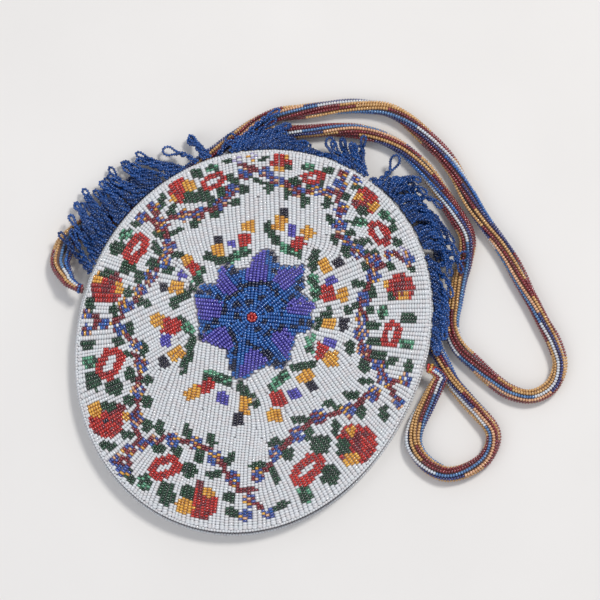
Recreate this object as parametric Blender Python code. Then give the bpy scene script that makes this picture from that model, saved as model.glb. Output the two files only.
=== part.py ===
"""A round bead-worked purse that lies on its back panel, with a looped bead fringe and a beaded strap.

Metres, +Z up. The origin is on the surface that the purse lies on, under the middle of the front
panel's eight-pointed star. +Y points to the fringed bottom of the purse, and its mouth opens at -Y.
The fringed half of the rim rests on a hidden stretch of the strap, so it stands a strap's height up.
"""

import math

import bmesh
import bpy
from mathutils import Vector

MM = 0.001

# Outline of both panels, as a distance from the star's middle
PANEL_RADIUS = 92.1 * MM
STAR_OFF_CENTRE = 9.0 * MM
STAR_OFF_CENTRE_DIRECTION = -85.0
OVAL = 6.6 * MM
OVAL_DIRECTION = 64.0
EGG = 1.6 * MM
EGG_DIRECTION = 19.0
BACK_PANEL_WIDER = 1.0 * MM

# Bead cloth: rows of beads make ribs, which run parallel to the middle of each of the eight wedges
BEAD_CLOTH = 2.2 * MM
RIB_SPACING = 2.1 * MM
RIB_RELIEF = 1.0 * MM
WEDGES = 8
FIRST_WEDGE_DIRECTION = 84.0
SMOOTH_SIDE_SPOKES = 72
# A rib line that starts closer to a ring than this share of the room between two lines skips it
RING_ROOM = 0.3
HALVINGS = 48
SHARP_ANGLE = 50.0

# Heights of the panels, and the rings that their surfaces bend at, as shares of the way to the rim
STRAP_DIAMETER = 7.5 * MM
ROOM_OVER_STRAP = 0.9 * MM
SEAM_GAP = 0.3 * MM
POCKET_CROWN = 1.6 * MM
MOUTH_GAP = 6.0 * MM
RAMP_START_RING = 0.39
RAMP_END_RING = 0.61
MOUTH_RAMP = 28.0

# The fringed half of the rim, from the strap's right end to its left end
FRINGE_START = -12.0
FRINGE_END = 171.0
FRINGE_LOOPS = 36
FRINGE_END_MARGIN = 4.5
STRAND_DIAMETER = 1.7 * MM
STRAND_SIDES = 5
STRAND_GAP = 0.4 * MM
# A loop's two strands run side by side through two stations and open into an eye, as shares of its length
LOOP_STATIONS = (0.3, 0.62)
LOOP_EYE = 1.3 * MM
LOOP_EYE_AT = 0.9
# A loop comes down to the surface between these shares of its length, and beside the strap by this
# many times the distance at which the two would touch
STRAND_FALLS = (0.3, 0.85)
STRAND_OFF_STRAP = 2.2
# How the fringe lies: direction from the star's middle, lean from straight out, and length as a
# share of the longest loop's
FRINGE_LONGEST = 28.0 * MM
FRINGE_LIE = (
    (-12.0, -50.0, 0.50),
    (8.0, -56.0, 0.68),
    (23.0, -52.0, 0.75),
    (40.0, -14.0, 0.78),
    (52.0, 22.0, 0.75),
    (64.0, 50.0, 0.75),
    (80.0, 46.0, 0.70),
    (90.0, 34.0, 0.57),
    (101.0, 12.0, 0.50),
    (112.0, 20.0, 0.70),
    (119.0, 26.0, 0.80),
    (130.0, 12.0, 0.86),
    (145.0, -10.0, 0.88),
    (160.0, -32.0, 0.96),
    (171.0, -47.0, 1.00),
)
FRINGE_SWAY = 1.5
FRINGE_SWAY_STEP = 2.4

# Strap: its sewn ends and its route, chosen by hand, from the right end to the left end. The first
# two numbers of a point are shares of PANEL_RADIUS, and the third is its rise in strap diameters.
STRAP_END_SHOULDER = 2.0 * MM
STRAP_END_ROOT = 2.0 * MM
STRAP_END_WAIST_AT = 0.6
STRAP_END_WAIST = 0.72
STRAP_END_TIP = 0.8
STRAP_END_SIDES = 10
RIGHT_END_DIRECTION = -16.0
LEFT_END_DIRECTION = 170.0
STRAP_SPACING = 11.5 * MM
STRAP_ROUTE = (
    (1.015, -0.342, 0.67),
    (0.983, -0.407, 0.43),
    (0.939, -0.483, 0.13),
    (0.896, -0.575, 0.00),
    (0.879, -0.668, 0.00),
    (0.928, -0.771, 0.00),
    (1.042, -0.841, 0.00),
    (1.178, -0.814, 0.00),
    (1.281, -0.733, 0.00),
    (1.308, -0.635, 0.00),
    (1.260, -0.543, 0.00),
    (1.162, -0.423, 0.00),
    (1.059, -0.288, 0.00),
    (0.999, -0.163, 0.00),
    (0.912, -0.022, 0.00),
    (0.825, 0.152, 0.00),
    (0.755, 0.337, 0.00),
    (0.651, 0.505, 0.00),
    (0.521, 0.635, 0.00),
    (0.369, 0.717, 0.00),
    (0.217, 0.755, 0.00),
    (0.087, 0.771, 0.00),
    (-0.005, 0.825, 0.00),
    (-0.043, 0.912, 0.00),
    (-0.005, 0.999, 0.00),
    (0.098, 1.048, 0.00),
    (0.239, 1.064, 0.00),
    (0.380, 1.069, 0.00),
    (0.532, 1.075, 0.00),
    (0.684, 1.042, 0.00),
    (0.847, 0.950, 0.00),
    (0.993, 0.787, 0.00),
    (1.118, 0.597, 0.00),
    (1.178, 0.456, 0.00),
    (1.167, 0.337, 0.00),
    (1.129, 0.195, 0.00),
    (1.102, 0.054, 0.00),
    (1.091, -0.060, 0.00),
    (1.140, -0.168, 0.00),
    (1.238, -0.261, 0.00),
    (1.357, -0.358, 0.00),
    (1.471, -0.418, 0.00),
    (1.585, -0.402, 0.00),
    (1.667, -0.315, 0.00),
    (1.667, -0.190, 0.00),
    (1.618, -0.071, 0.00),
    (1.547, 0.081, 0.00),
    (1.471, 0.223, 0.00),
    (1.374, 0.407, 0.00),
    (1.260, 0.575, 0.00),
    (1.183, 0.717, 0.00),
    (1.091, 0.879, 0.00),
    (0.955, 1.042, 0.00),
    (0.825, 1.151, 0.00),
    (0.695, 1.200, 0.00),
    (0.445, 1.200, 0.00),
    (0.217, 1.173, 0.00),
    (0.054, 1.129, 0.00),
    (-0.092, 1.031, 0.00),
    (-0.261, 0.907, 0.00),
    (-0.429, 0.782, 0.00),
    (-0.586, 0.673, 0.00),
    (-0.727, 0.592, 0.00),
    (-0.863, 0.548, 0.00),
    (-0.972, 0.499, 0.00),
    (-1.048, 0.423, 0.00),
    (-1.075, 0.337, 0.13),
    (-1.059, 0.271, 0.40),
    (-1.015, 0.223, 0.67),
)


def clear_scene():
    for thing in list(bpy.data.objects):
        bpy.data.objects.remove(thing)


def material(name, colour, roughness, metallic=0.0):
    made = bpy.data.materials.new(name)
    made.use_nodes = True
    shader = made.node_tree.nodes["Principled BSDF"]
    shader.inputs["Base Color"].default_value = (*colour, 1.0)
    shader.inputs["Roughness"].default_value = roughness
    shader.inputs["Metallic"].default_value = metallic
    return made


def add_object(name, data, finish):
    made = bpy.data.objects.new(name, data)
    made.data.materials.append(finish)
    bpy.context.scene.collection.objects.link(made)
    return made


def smoothstep(low, high, value):
    share = min(max((value - low) / (high - low), 0.0), 1.0)
    return share * share * (3.0 - 2.0 * share)


def rim_radius(angle):
    """Distance from the star's middle to the front panel's rim, for an angle in radians."""
    return (
        PANEL_RADIUS
        + STAR_OFF_CENTRE * math.cos(angle - math.radians(STAR_OFF_CENTRE_DIRECTION))
        + OVAL * math.cos(2 * (angle - math.radians(OVAL_DIRECTION)))
        + EGG * math.cos(3 * (angle - math.radians(EGG_DIRECTION)))
    )


def fringed_share(angle):
    """1 along the fringed half of the rim, where the panels are sewn together, and 0 at the mouth."""
    middle = math.radians((FRINGE_START + FRINGE_END) / 2)
    away = math.degrees(abs(math.remainder(angle - middle, 2 * math.pi)))
    sewn = (FRINGE_END - FRINGE_START) / 2
    return 1.0 - smoothstep(sewn, sewn + MOUTH_RAMP, away)


def lift(share, angle):
    """How far the strap below holds the back panel up, at a share of the way to the rim."""
    ramp = min(max((share - RAMP_START_RING) / (RAMP_END_RING - RAMP_START_RING), 0.0), 1.0)
    return (STRAP_DIAMETER + ROOM_OVER_STRAP) * ramp * fringed_share(angle)


def back_outside(share, angle):
    return lift(share, angle)


def back_inside(share, angle):
    return BEAD_CLOTH + lift(share, angle)


def front_inside(share, angle):
    middle = BEAD_CLOTH + STRAP_DIAMETER + ROOM_OVER_STRAP + SEAM_GAP + POCKET_CROWN
    sewn = fringed_share(angle)
    rim = back_inside(1.0, angle) + SEAM_GAP + MOUTH_GAP * (1.0 - sewn)
    return rim + (middle - rim) * (1.0 - share * share)


def front_outside(share, angle):
    return front_inside(share, angle) + BEAD_CLOTH


def point_on_line(axis_angle, offset, share, wider):
    """Where a rib line, at this offset from its wedge's middle, meets the outline drawn at this share."""
    low = 0.0
    high = 2.0 * PANEL_RADIUS
    along = Vector((math.cos(axis_angle), math.sin(axis_angle)))
    across = Vector((-along.y, along.x))
    for _ in range(HALVINGS):
        middle = (low + high) / 2
        point = middle * along + offset * across
        angle = math.atan2(point.y, point.x)
        if point.length < share * (rim_radius(angle) + wider):
            low = middle
        else:
            high = middle
    return low * along + offset * across


def ribbed_side(mesh, height, relief, ribbed_from, wider):
    """Adds the ribbed face of a panel, and returns its rim's vertices in order round the panel.

    Lines run along the foot and the crest of each rib by turns, from where two wedges meet to the rim.
    """
    rings = (RAMP_START_RING, RAMP_END_RING, 1.0)
    known = {}
    rim = []

    def vertex(point, share, line):
        key = (round(point.x, 6), round(point.y, 6))
        if key not in known:
            angle = math.atan2(point.y, point.x)
            z = height(share, angle)
            if line % 2 == 0 and share > ribbed_from:
                z += relief
            known[key] = mesh.verts.new((point.x, point.y, z))
        return known[key]

    half = math.pi / WEDGES
    for wedge in range(WEDGES):
        axis = math.radians(FIRST_WEDGE_DIRECTION) + 2 * half * wedge
        for side in (-1, 1):
            border = axis + side * half
            reach = rim_radius(border) + wider
            width = reach * math.sin(half)
            count = max(2, round(width / (RIB_SPACING / 2)))
            lines = []
            for line in range(count + 1):
                offset = width if line == count else line * RIB_SPACING / 2
                start = offset / width
                on_border = start * reach * Vector((math.cos(border), math.sin(border)))
                row = [vertex(on_border, start, line)]
                for ring in rings:
                    if ring > start + RING_ROOM / count:
                        point = point_on_line(axis, side * offset, ring, wider)
                        row.append(vertex(point, ring, line))
                lines.append(row)
            for row, following in zip(lines, lines[1:]):
                join_lines(mesh, row, following)
            ends = [row[-1] for row in lines]
            rim += ends[:0:-1] if side < 0 else ends[:-1]
    return rim


def join_lines(mesh, row, following):
    """Faces between two rib lines. They end together at the rim, and the second may start one ring later."""
    row = row[::-1]
    following = following[::-1]
    for index in range(len(row) - 1):
        corners = [row[index], row[index + 1]]
        corners += following[index : index + 2][::-1]
        if len(set(corners)) > 2:
            mesh.faces.new(list(dict.fromkeys(corners)))


def smooth_side(mesh, rim, height, wider):
    """Adds the plain inner face of a panel, under or over the ribbed one, and the edge that joins them."""
    first = math.atan2(rim[0].co.y, rim[0].co.x)
    edge = []
    for vertex in rim[::2]:
        angle = math.atan2(vertex.co.y, vertex.co.x)
        edge.append(mesh.verts.new((vertex.co.x, vertex.co.y, height(1.0, angle))))
    for index, vertex in enumerate(edge):
        start, middle, end = (rim[(2 * index + step) % len(rim)] for step in range(3))
        after = edge[(index + 1) % len(edge)]
        mesh.faces.new((start, middle, vertex))
        mesh.faces.new((middle, end, after))
        mesh.faces.new((middle, after, vertex))
    outer = edge
    for share in (RAMP_END_RING, RAMP_START_RING):
        inner = []
        for spoke in range(SMOOTH_SIDE_SPOKES):
            angle = first + 2 * math.pi * spoke / SMOOTH_SIDE_SPOKES
            reach = share * (rim_radius(angle) + wider)
            place = (reach * math.cos(angle), reach * math.sin(angle), height(share, angle))
            inner.append(mesh.verts.new(place))
        join_rings(mesh, outer, inner, first)
        outer = inner
    centre = mesh.verts.new((0.0, 0.0, height(0.0, 0.0)))
    for index, vertex in enumerate(outer):
        mesh.faces.new((vertex, outer[(index + 1) % len(outer)], centre))


def join_rings(mesh, outer, inner, first):
    """Triangles between two rings of vertices, which both start at the same direction and turn left."""

    def turned(ring, index):
        if index == len(ring):
            return 2 * math.pi
        return (math.atan2(ring[index].co.y, ring[index].co.x) - first + 1e-6) % (2 * math.pi)

    near = 0
    far = 0
    while far < len(outer) or near < len(inner):
        on_outer = outer[far % len(outer)]
        on_inner = inner[near % len(inner)]
        if near == len(inner) or (
            far < len(outer) and turned(outer, far + 1) <= turned(inner, near + 1)
        ):
            mesh.faces.new((on_outer, outer[(far + 1) % len(outer)], on_inner))
            far += 1
        else:
            mesh.faces.new((on_outer, inner[(near + 1) % len(inner)], on_inner))
            near += 1


def finish_mesh(name, mesh, finish):
    """Makes an object of a closed mesh, with its faces turned outwards."""
    bmesh.ops.recalc_face_normals(mesh, faces=mesh.faces)
    bmesh.ops.triangulate(mesh, faces=mesh.faces)
    data = bpy.data.meshes.new(name)
    mesh.to_mesh(data)
    mesh.free()
    data.shade_smooth()
    data.set_sharp_from_angle(angle=math.radians(SHARP_ANGLE))
    return add_object(name, data, finish)


def panel(name, outside, inside, relief, ribbed_from, wider, finish):
    """A panel of bead cloth: a ribbed outer face, a plain inner face and the edge between them."""
    mesh = bmesh.new()
    rim = ribbed_side(mesh, outside, relief, ribbed_from, wider)
    smooth_side(mesh, rim, inside, wider)
    return finish_mesh(name, mesh, finish)


def bar(name, rings, sides, finish):
    """A round bar with flat ends through rings, each of which is a middle, a facing and a radius."""
    mesh = bmesh.new()
    loops = []
    for middle, facing, radius in rings:
        facing = facing.normalized()
        across = facing.cross(Vector((0.0, 0.0, 1.0))).normalized()
        upward = across.cross(facing)
        loop = []
        for index in range(sides):
            turn = 2 * math.pi * index / sides
            spoke = math.cos(turn) * across + math.sin(turn) * upward
            loop.append(mesh.verts.new(middle + radius * spoke))
        loops.append(loop)
    for near, far in zip(loops, loops[1:]):
        for index in range(sides):
            after = (index + 1) % sides
            mesh.faces.new((near[index], near[after], far[after], far[index]))
    mesh.faces.new(loops[0])
    mesh.faces.new(loops[-1])
    return finish_mesh(name, mesh, finish)


def smooth_route(points, spacing):
    """Evenly spaced points on a smooth curve through the given ones."""
    fine = []
    padded = [2 * points[0] - points[1], *points, 2 * points[-1] - points[-2]]
    for a, b, c, d in zip(padded, padded[1:], padded[2:], padded[3:]):
        for step in range(12):
            t = step / 12
            even = (2 * a - 5 * b + 4 * c - d) * t * t
            odd = (3 * b - 3 * c + d - a) * t * t * t
            fine.append(0.5 * (2 * b + (c - a) * t + even + odd))
    fine.append(points[-1])
    lengths = [0.0]
    for before, after in zip(fine, fine[1:]):
        lengths.append(lengths[-1] + (after - before).length)
    count = max(2, round(lengths[-1] / spacing))
    route = []
    at = 0
    for index in range(count + 1):
        wanted = lengths[-1] * index / count
        while at < len(fine) - 2 and lengths[at + 1] < wanted:
            at += 1
        share = (wanted - lengths[at]) / (lengths[at + 1] - lengths[at])
        route.append(fine[at].lerp(fine[at + 1], min(share, 1.0)))
    return route


def tube(name, points, diameter, finish):
    """A tube with filled ends along a row of points."""
    data = bpy.data.curves.new(name, "CURVE")
    data.dimensions = "3D"
    data.bevel_depth = diameter / 2
    data.bevel_resolution = 2
    data.use_fill_caps = True
    line = data.splines.new("POLY")
    line.points.add(len(points) - 1)
    for target, point in zip(line.points, points):
        target.co = (*point, 1.0)
    line.use_smooth = True
    return add_object(name, data, finish)


def strap_points():
    """The middle line of the strap, which lies on the surface below except where its ends rise."""
    points = []
    for across, along, rise in STRAP_ROUTE:
        height = (rise + 0.5) * STRAP_DIAMETER
        points.append(Vector((across * PANEL_RADIUS, along * PANEL_RADIUS, height)))
    return smooth_route(points, STRAP_SPACING)


def seam_point(angle, outward):
    """A point beside the seam between the panels, this far out from the wider one's edge."""
    reach = rim_radius(angle) + BACK_PANEL_WIDER + outward
    height = back_inside(1.0, angle) + SEAM_GAP / 2
    return Vector((reach * math.cos(angle), reach * math.sin(angle), height))


def strap_end(name, direction, strap_start, strap_second, finish):
    """The bundle of beads that joins an end of the strap to the seam."""
    heading = (strap_start - strap_second).normalized()
    meet = strap_start + SEAM_GAP * heading
    shoulder = meet + STRAP_END_SHOULDER * heading
    root = seam_point(math.radians(direction), SEAM_GAP)
    outward = Vector((root.x, root.y, 0.0)).normalized()
    neck = root + STRAP_END_ROOT * outward
    rings = (
        (meet, heading, STRAP_DIAMETER / 2),
        (shoulder, heading, STRAP_DIAMETER / 2),
        (shoulder.lerp(neck, STRAP_END_WAIST_AT), neck - shoulder, STRAP_END_WAIST * STRAP_DIAMETER / 2),
        (neck, -outward, STRAP_END_ROOT),
        (root, -outward, STRAP_END_TIP * STRAP_END_ROOT),
    )
    return bar(name, rings, STRAP_END_SIDES, finish)


def fringe_lie(direction):
    """The lean and the length of the loop at this direction, read between the rows of FRINGE_LIE."""
    for first, second in zip(FRINGE_LIE, FRINGE_LIE[1:]):
        if direction <= second[0]:
            share = (direction - first[0]) / (second[0] - first[0])
            lean = first[1] + share * (second[1] - first[1])
            return lean, FRINGE_LONGEST * (first[2] + share * (second[2] - first[2]))
    return FRINGE_LIE[-1][1], FRINGE_LONGEST * FRINGE_LIE[-1][2]


def distance_to_route(point, route):
    """The distance in plan from a point to a row of points."""
    best = math.inf
    for start, end in zip(route, route[1:]):
        along = (end - start).xy
        share = (point.xy - start.xy).dot(along) / max(along.length_squared, 1e-12)
        nearest = start.xy + min(max(share, 0.0), 1.0) * along
        best = min(best, (point.xy - nearest).length)
    return best


def draped_height(point, share, strap_line):
    """Height of a strand: down from the seam to the surface below, and over the strap where it lies."""
    root = seam_point(0.0, 0.0).z
    resting = STRAND_DIAMETER / 2 + SEAM_GAP / 2
    falling = root + (resting - root) * smoothstep(*STRAND_FALLS, share)
    reach = (STRAP_DIAMETER + STRAND_DIAMETER) / 2 + SEAM_GAP
    over_strap = STRAP_DIAMETER + STRAND_DIAMETER / 2 + 2 * SEAM_GAP
    away = distance_to_route(point, strap_line)
    clearing = over_strap + (resting - over_strap) * smoothstep(reach, STRAND_OFF_STRAP * reach, away)
    return max(falling, clearing)


def fringe_loop(name, direction, sway, strap_line, finish):
    """One loop of the fringe: a strand out from the seam, round a small eye, and back beside itself."""
    angle = math.radians(direction)
    lean, length = fringe_lie(direction)
    heading = angle + math.radians(lean + sway)
    along = Vector((math.cos(heading), math.sin(heading), 0.0))
    across = Vector((-along.y, along.x, 0.0))
    radius = STRAND_DIAMETER / 2
    beside = radius + STRAND_GAP / 2
    clear = SEAM_GAP + radius * abs(math.sin(heading - angle))
    reach = rim_radius(angle)
    turn = beside / reach
    stations = [(share, beside) for share in LOOP_STATIONS]
    stations.append((LOOP_EYE_AT, LOOP_EYE))
    base = seam_point(angle, clear)
    points = [seam_point(angle - turn, clear)]
    for share, spread in stations:
        points.append(base + share * length * along - spread * across)
    points.append(base + length * along)
    for share, spread in reversed(stations):
        points.append(base + share * length * along + spread * across)
    points.append(seam_point(angle + turn, clear))
    for index, point in enumerate(points[1:-1], 1):
        share = (point - base).length / length
        point.z = draped_height(point, share, strap_line)
    headings = [points[1] - points[0]]
    headings += [after - before for before, after in zip(points, points[2:])]
    headings.append(points[-1] - points[-2])
    rings = [(point, heading, radius) for point, heading in zip(points, headings)]
    return bar(name, rings, STRAND_SIDES, finish)


def fringe(strap_line, finish):
    first = FRINGE_START + FRINGE_END_MARGIN
    last = FRINGE_END - FRINGE_END_MARGIN
    for index in range(FRINGE_LOOPS):
        direction = first + (last - first) * index / (FRINGE_LOOPS - 1)
        sway = FRINGE_SWAY * math.sin(FRINGE_SWAY_STEP * index)
        fringe_loop(f"fringe_loop_{index + 1:02d}", direction, sway, strap_line, finish)


def build():
    clear_scene()
    white_beads = material("white_beads", (0.80, 0.81, 0.84), 0.3)
    blue_beads = material("blue_beads", (0.05, 0.13, 0.42), 0.28)
    strap_beads = material("strap_beads", (0.45, 0.27, 0.16), 0.35)
    end_beads = material("strap_end_beads", (0.55, 0.16, 0.06), 0.35)
    panel(
        "front_panel",
        front_outside,
        front_inside,
        -RIB_RELIEF,
        0.0,
        0.0,
        white_beads,
    )
    panel(
        "back_panel",
        back_outside,
        back_inside,
        RIB_RELIEF,
        RAMP_START_RING,
        BACK_PANEL_WIDER,
        white_beads,
    )
    route = strap_points()
    tube("strap", route, STRAP_DIAMETER, strap_beads)
    strap_end("strap_end_right", RIGHT_END_DIRECTION, route[0], route[1], end_beads)
    strap_end("strap_end_left", LEFT_END_DIRECTION, route[-1], route[-2], end_beads)
    fringe(route, blue_beads)


build()
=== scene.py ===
"""Looks of the bead-worked purse: every bead, the cloth under them, the fringe and the strap.

Metres, +Z up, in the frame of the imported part. Tables of places are in millimetres from the middle
of the star. The purse lies on its back panel, with its mouth at -Y.
"""

import functools
import math

import bpy
import numpy as np
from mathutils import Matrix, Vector, kdtree


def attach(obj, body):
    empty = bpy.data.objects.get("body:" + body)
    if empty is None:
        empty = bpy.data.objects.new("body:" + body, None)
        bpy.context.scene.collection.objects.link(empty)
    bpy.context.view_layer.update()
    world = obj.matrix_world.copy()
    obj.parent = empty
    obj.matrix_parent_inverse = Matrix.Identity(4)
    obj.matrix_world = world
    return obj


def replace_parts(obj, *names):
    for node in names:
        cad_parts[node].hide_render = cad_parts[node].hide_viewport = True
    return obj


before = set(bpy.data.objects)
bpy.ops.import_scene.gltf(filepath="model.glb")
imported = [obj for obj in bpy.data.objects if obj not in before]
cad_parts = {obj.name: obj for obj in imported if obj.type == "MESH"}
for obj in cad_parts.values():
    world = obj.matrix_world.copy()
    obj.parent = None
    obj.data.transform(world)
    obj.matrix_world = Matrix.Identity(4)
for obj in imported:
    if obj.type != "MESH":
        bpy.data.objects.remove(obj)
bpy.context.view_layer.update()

MM = 0.001

# Panels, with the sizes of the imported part
PANEL_RADIUS = 92.1 * MM
STAR_OFF_CENTRE = 9.0 * MM
STAR_OFF_CENTRE_DIRECTION = -85.0
OVAL = 6.6 * MM
OVAL_DIRECTION = 64.0
EGG = 1.6 * MM
EGG_DIRECTION = 19.0
BACK_PANEL_WIDER = 1.0 * MM
BEAD_CLOTH = 2.2 * MM
BEADS_OVER_CLOTH = 1.5 * MM
CLOTH_THINNEST = 0.25 * MM
CLOTH_INSET = 0.9 * MM
STRAP_DIAMETER = 7.5 * MM
ROOM_OVER_STRAP = 0.9 * MM
SEAM_GAP = 0.3 * MM
POCKET_CROWN = 1.6 * MM
MOUTH_GAP = 6.0 * MM
FRONT_ROUNDING = 1.1 * MM
BACK_ROUNDING = 0.8 * MM
ROUNDED_EDGE = 2.4 * MM
SETTLING = 0.3 * MM
CALM_BORDER = 12.0 * MM
SAG_HEIGHT = 0.32 * MM
FINE_SAG_HEIGHT = 0.13 * MM
RAMP_START = 7 / 18
RAMP_END = 11 / 18
RAMP_STRAIGHT = 0.4
MOUTH_RAMP = 28.0
FRINGE_START = -12.0
FRINGE_END = 171.0
WEDGES = 8
FIRST_WEDGE_DIRECTION = 84.0

# Beads of the panels
RIB_SPACING = 1.98 * MM
RIB_PITCH = 1.34 * MM
RING_CLOSER = 0.10
STAR_RIB_SPACING = 1.84 * MM
STAR_RIB_PITCH = 1.3 * MM
BACK_RIB_SPACING = 2.1 * MM
BACK_RIB_PITCH = 1.4 * MM
BACK_BEAD_DIAMETER = 2.06 * MM
EDGING_DIAMETER = 1.5 * MM
EDGING_PITCH = 1.45 * MM
EDGING_INSET = 0.55 * MM
FRONT_EDGING_HEIGHT = 0.75 * MM
BACK_EDGING_HEIGHT = 1.35 * MM
BEAD_FILL = 1.06
BEAD_SHARE = 0.97
RIM_MARGIN = 0.35 * MM
RIB_SWAY = 0.24 * MM
RIB_SHAKE = 0.16 * MM
TRACED_RIB_SHAKE = 0.14 * MM
DEPTH_SHAKE = 0.14 * MM
WIDTH_SHAKE = 0.05
RIB_OVERLAP = 0.45 * MM
CENTRE_FLOWER = 2.8 * MM
FLOWER_RING = 1.9 * MM
FLOWER_BEADS = 7
RIB_SAMPLES = 400
RIB_WAVE = 0.011
RIB_WAVE_FADE = 4
SHALLOWEST_BEAD = 1.9 * MM
DEEPEST_BEAD = 2.3 * MM
# In shares of the ribs' spacing: how far off a neighbour counts, and the room that a bead takes
NEIGHBOURS_WITHIN = 1.7
ROOM_ALONE = 1.4
LEAST_ROOM = 0.8
MOST_ROOM = 1.35
SETTLED_SHARE = 0.25

# Bead shapes, as rings: the place along the bead and the share of its width there
BARREL = ((-0.5, 0.36), (-0.34, 0.84), (0.0, 1.0), (0.34, 0.84), (0.5, 0.36))
PLAIN_BARREL = ((-0.5, 0.52), (-0.34, 0.97), (0.34, 0.97), (0.5, 0.52))
SOFT_BARREL = ((-0.5, 0.68), (-0.36, 0.95), (0.0, 1.0), (0.36, 0.95), (0.5, 0.68))
BACK_BARREL = ((-0.5, 0.72), (0.0, 1.04), (0.5, 0.72))
ROUND = ((-0.5, 0.38), (0.0, 1.06), (0.5, 0.38))
STRING_ROUND = ((-0.5, 0.30), (-0.26, 0.92), (0.26, 0.92), (0.5, 0.30))
# Beads, as a number of sides, rings, and how much of a turn is made where the foot is hidden
WHITE_BEAD = (5, SOFT_BARREL, 232.0)
COLOURED_BEAD = (6, BARREL, 240.0)
BACK_BEAD = (4, BACK_BARREL, 220.0)
EDGING_BEAD = (6, PLAIN_BARREL)
STRAP_BEAD = (4, STRING_ROUND, 262.0)
KNOT_BEAD = (6, ROUND)
FRINGE_BEAD = (5, ROUND)

COLOURS = (
    "white", "red", "dark_red", "gold", "dark_green", "light_green", "purple", "blue", "navy",
    "black", "garland_blue", "peach", "lilac",
)
# Glass by name: its light and deep colour, and its roughness
GLASS = {
    "white": ((0.75, 0.77, 0.80), (0.65, 0.68, 0.72), 0.20),
    "red": ((0.60, 0.028, 0.018), (0.31, 0.010, 0.012), 0.10),
    "dark_red": ((0.26, 0.02, 0.03), (0.12, 0.012, 0.02), 0.14),
    "gold": ((0.84, 0.45, 0.06), (0.58, 0.24, 0.025), 0.11),
    "dark_green": ((0.015, 0.078, 0.034), (0.005, 0.022, 0.012), 0.09),
    "light_green": ((0.15, 0.44, 0.27), (0.06, 0.25, 0.14), 0.11),
    "purple": ((0.125, 0.11, 0.53), (0.06, 0.045, 0.32), 0.11),
    "blue": ((0.025, 0.155, 0.50), (0.010, 0.055, 0.25), 0.10),
    "navy": ((0.01, 0.02, 0.07), (0.006, 0.01, 0.03), 0.10),
    "black": ((0.014, 0.012, 0.035), (0.008, 0.008, 0.02), 0.10),
    "garland_blue": ((0.07, 0.13, 0.45), (0.03, 0.05, 0.25), 0.14),
    "fringe_blue": ((0.019, 0.092, 0.34), (0.002, 0.014, 0.08), 0.12),
    # Painted shade: a darker copy of the fringe glass, for the loops that lie below
    "fringe_deep": ((0.006, 0.035, 0.14), (0.003, 0.013, 0.06), 0.10),
    "midnight": ((0.035, 0.045, 0.20), (0.018, 0.02, 0.11), 0.14),
    "tan": ((0.70, 0.41, 0.15), (0.50, 0.25, 0.07), 0.18),
    "pale": ((0.66, 0.72, 0.80), (0.50, 0.58, 0.70), 0.18),
    "sky": ((0.10, 0.24, 0.48), (0.05, 0.14, 0.34), 0.16),
    "lilac": ((0.46, 0.42, 0.66), (0.34, 0.30, 0.52), 0.16),
    "peach": ((0.80, 0.46, 0.26), (0.62, 0.30, 0.14), 0.18),
}
WARM_WHITE = (0.72, 0.70, 0.71)
COOL_WHITE = (0.69, 0.73, 0.75)
# Cottons, each with its colour and its shade. Under the star the front's cotton is painted dark: painted
# shade for the gaps between the star's beads
# The backing's mid-grey is partly the cotton's colour and partly painted shade for the gaps between the
# ribs
BACKING_AND_GAP_SHADE = ((0.52, 0.50, 0.52), (0.36, 0.34, 0.37))
# The strap core's dark brown is partly its cotton's colour and partly painted shade for the gaps between
# the strap's beads
STRAP_COTTON_AND_GAP_SHADE = ((0.20, 0.11, 0.09), (0.10, 0.06, 0.05))
END_COTTON = ((0.16, 0.09, 0.07), (0.07, 0.04, 0.035))
# Painted shade under the star: its colour, the distance within which it is full, and where it has faded
# out
STAR_GAP_SHADE = (0.02, 0.03, 0.09)
STAR_SHADE_START = 24.0 * MM
STAR_SHADE_END = 31.0 * MM

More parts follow.
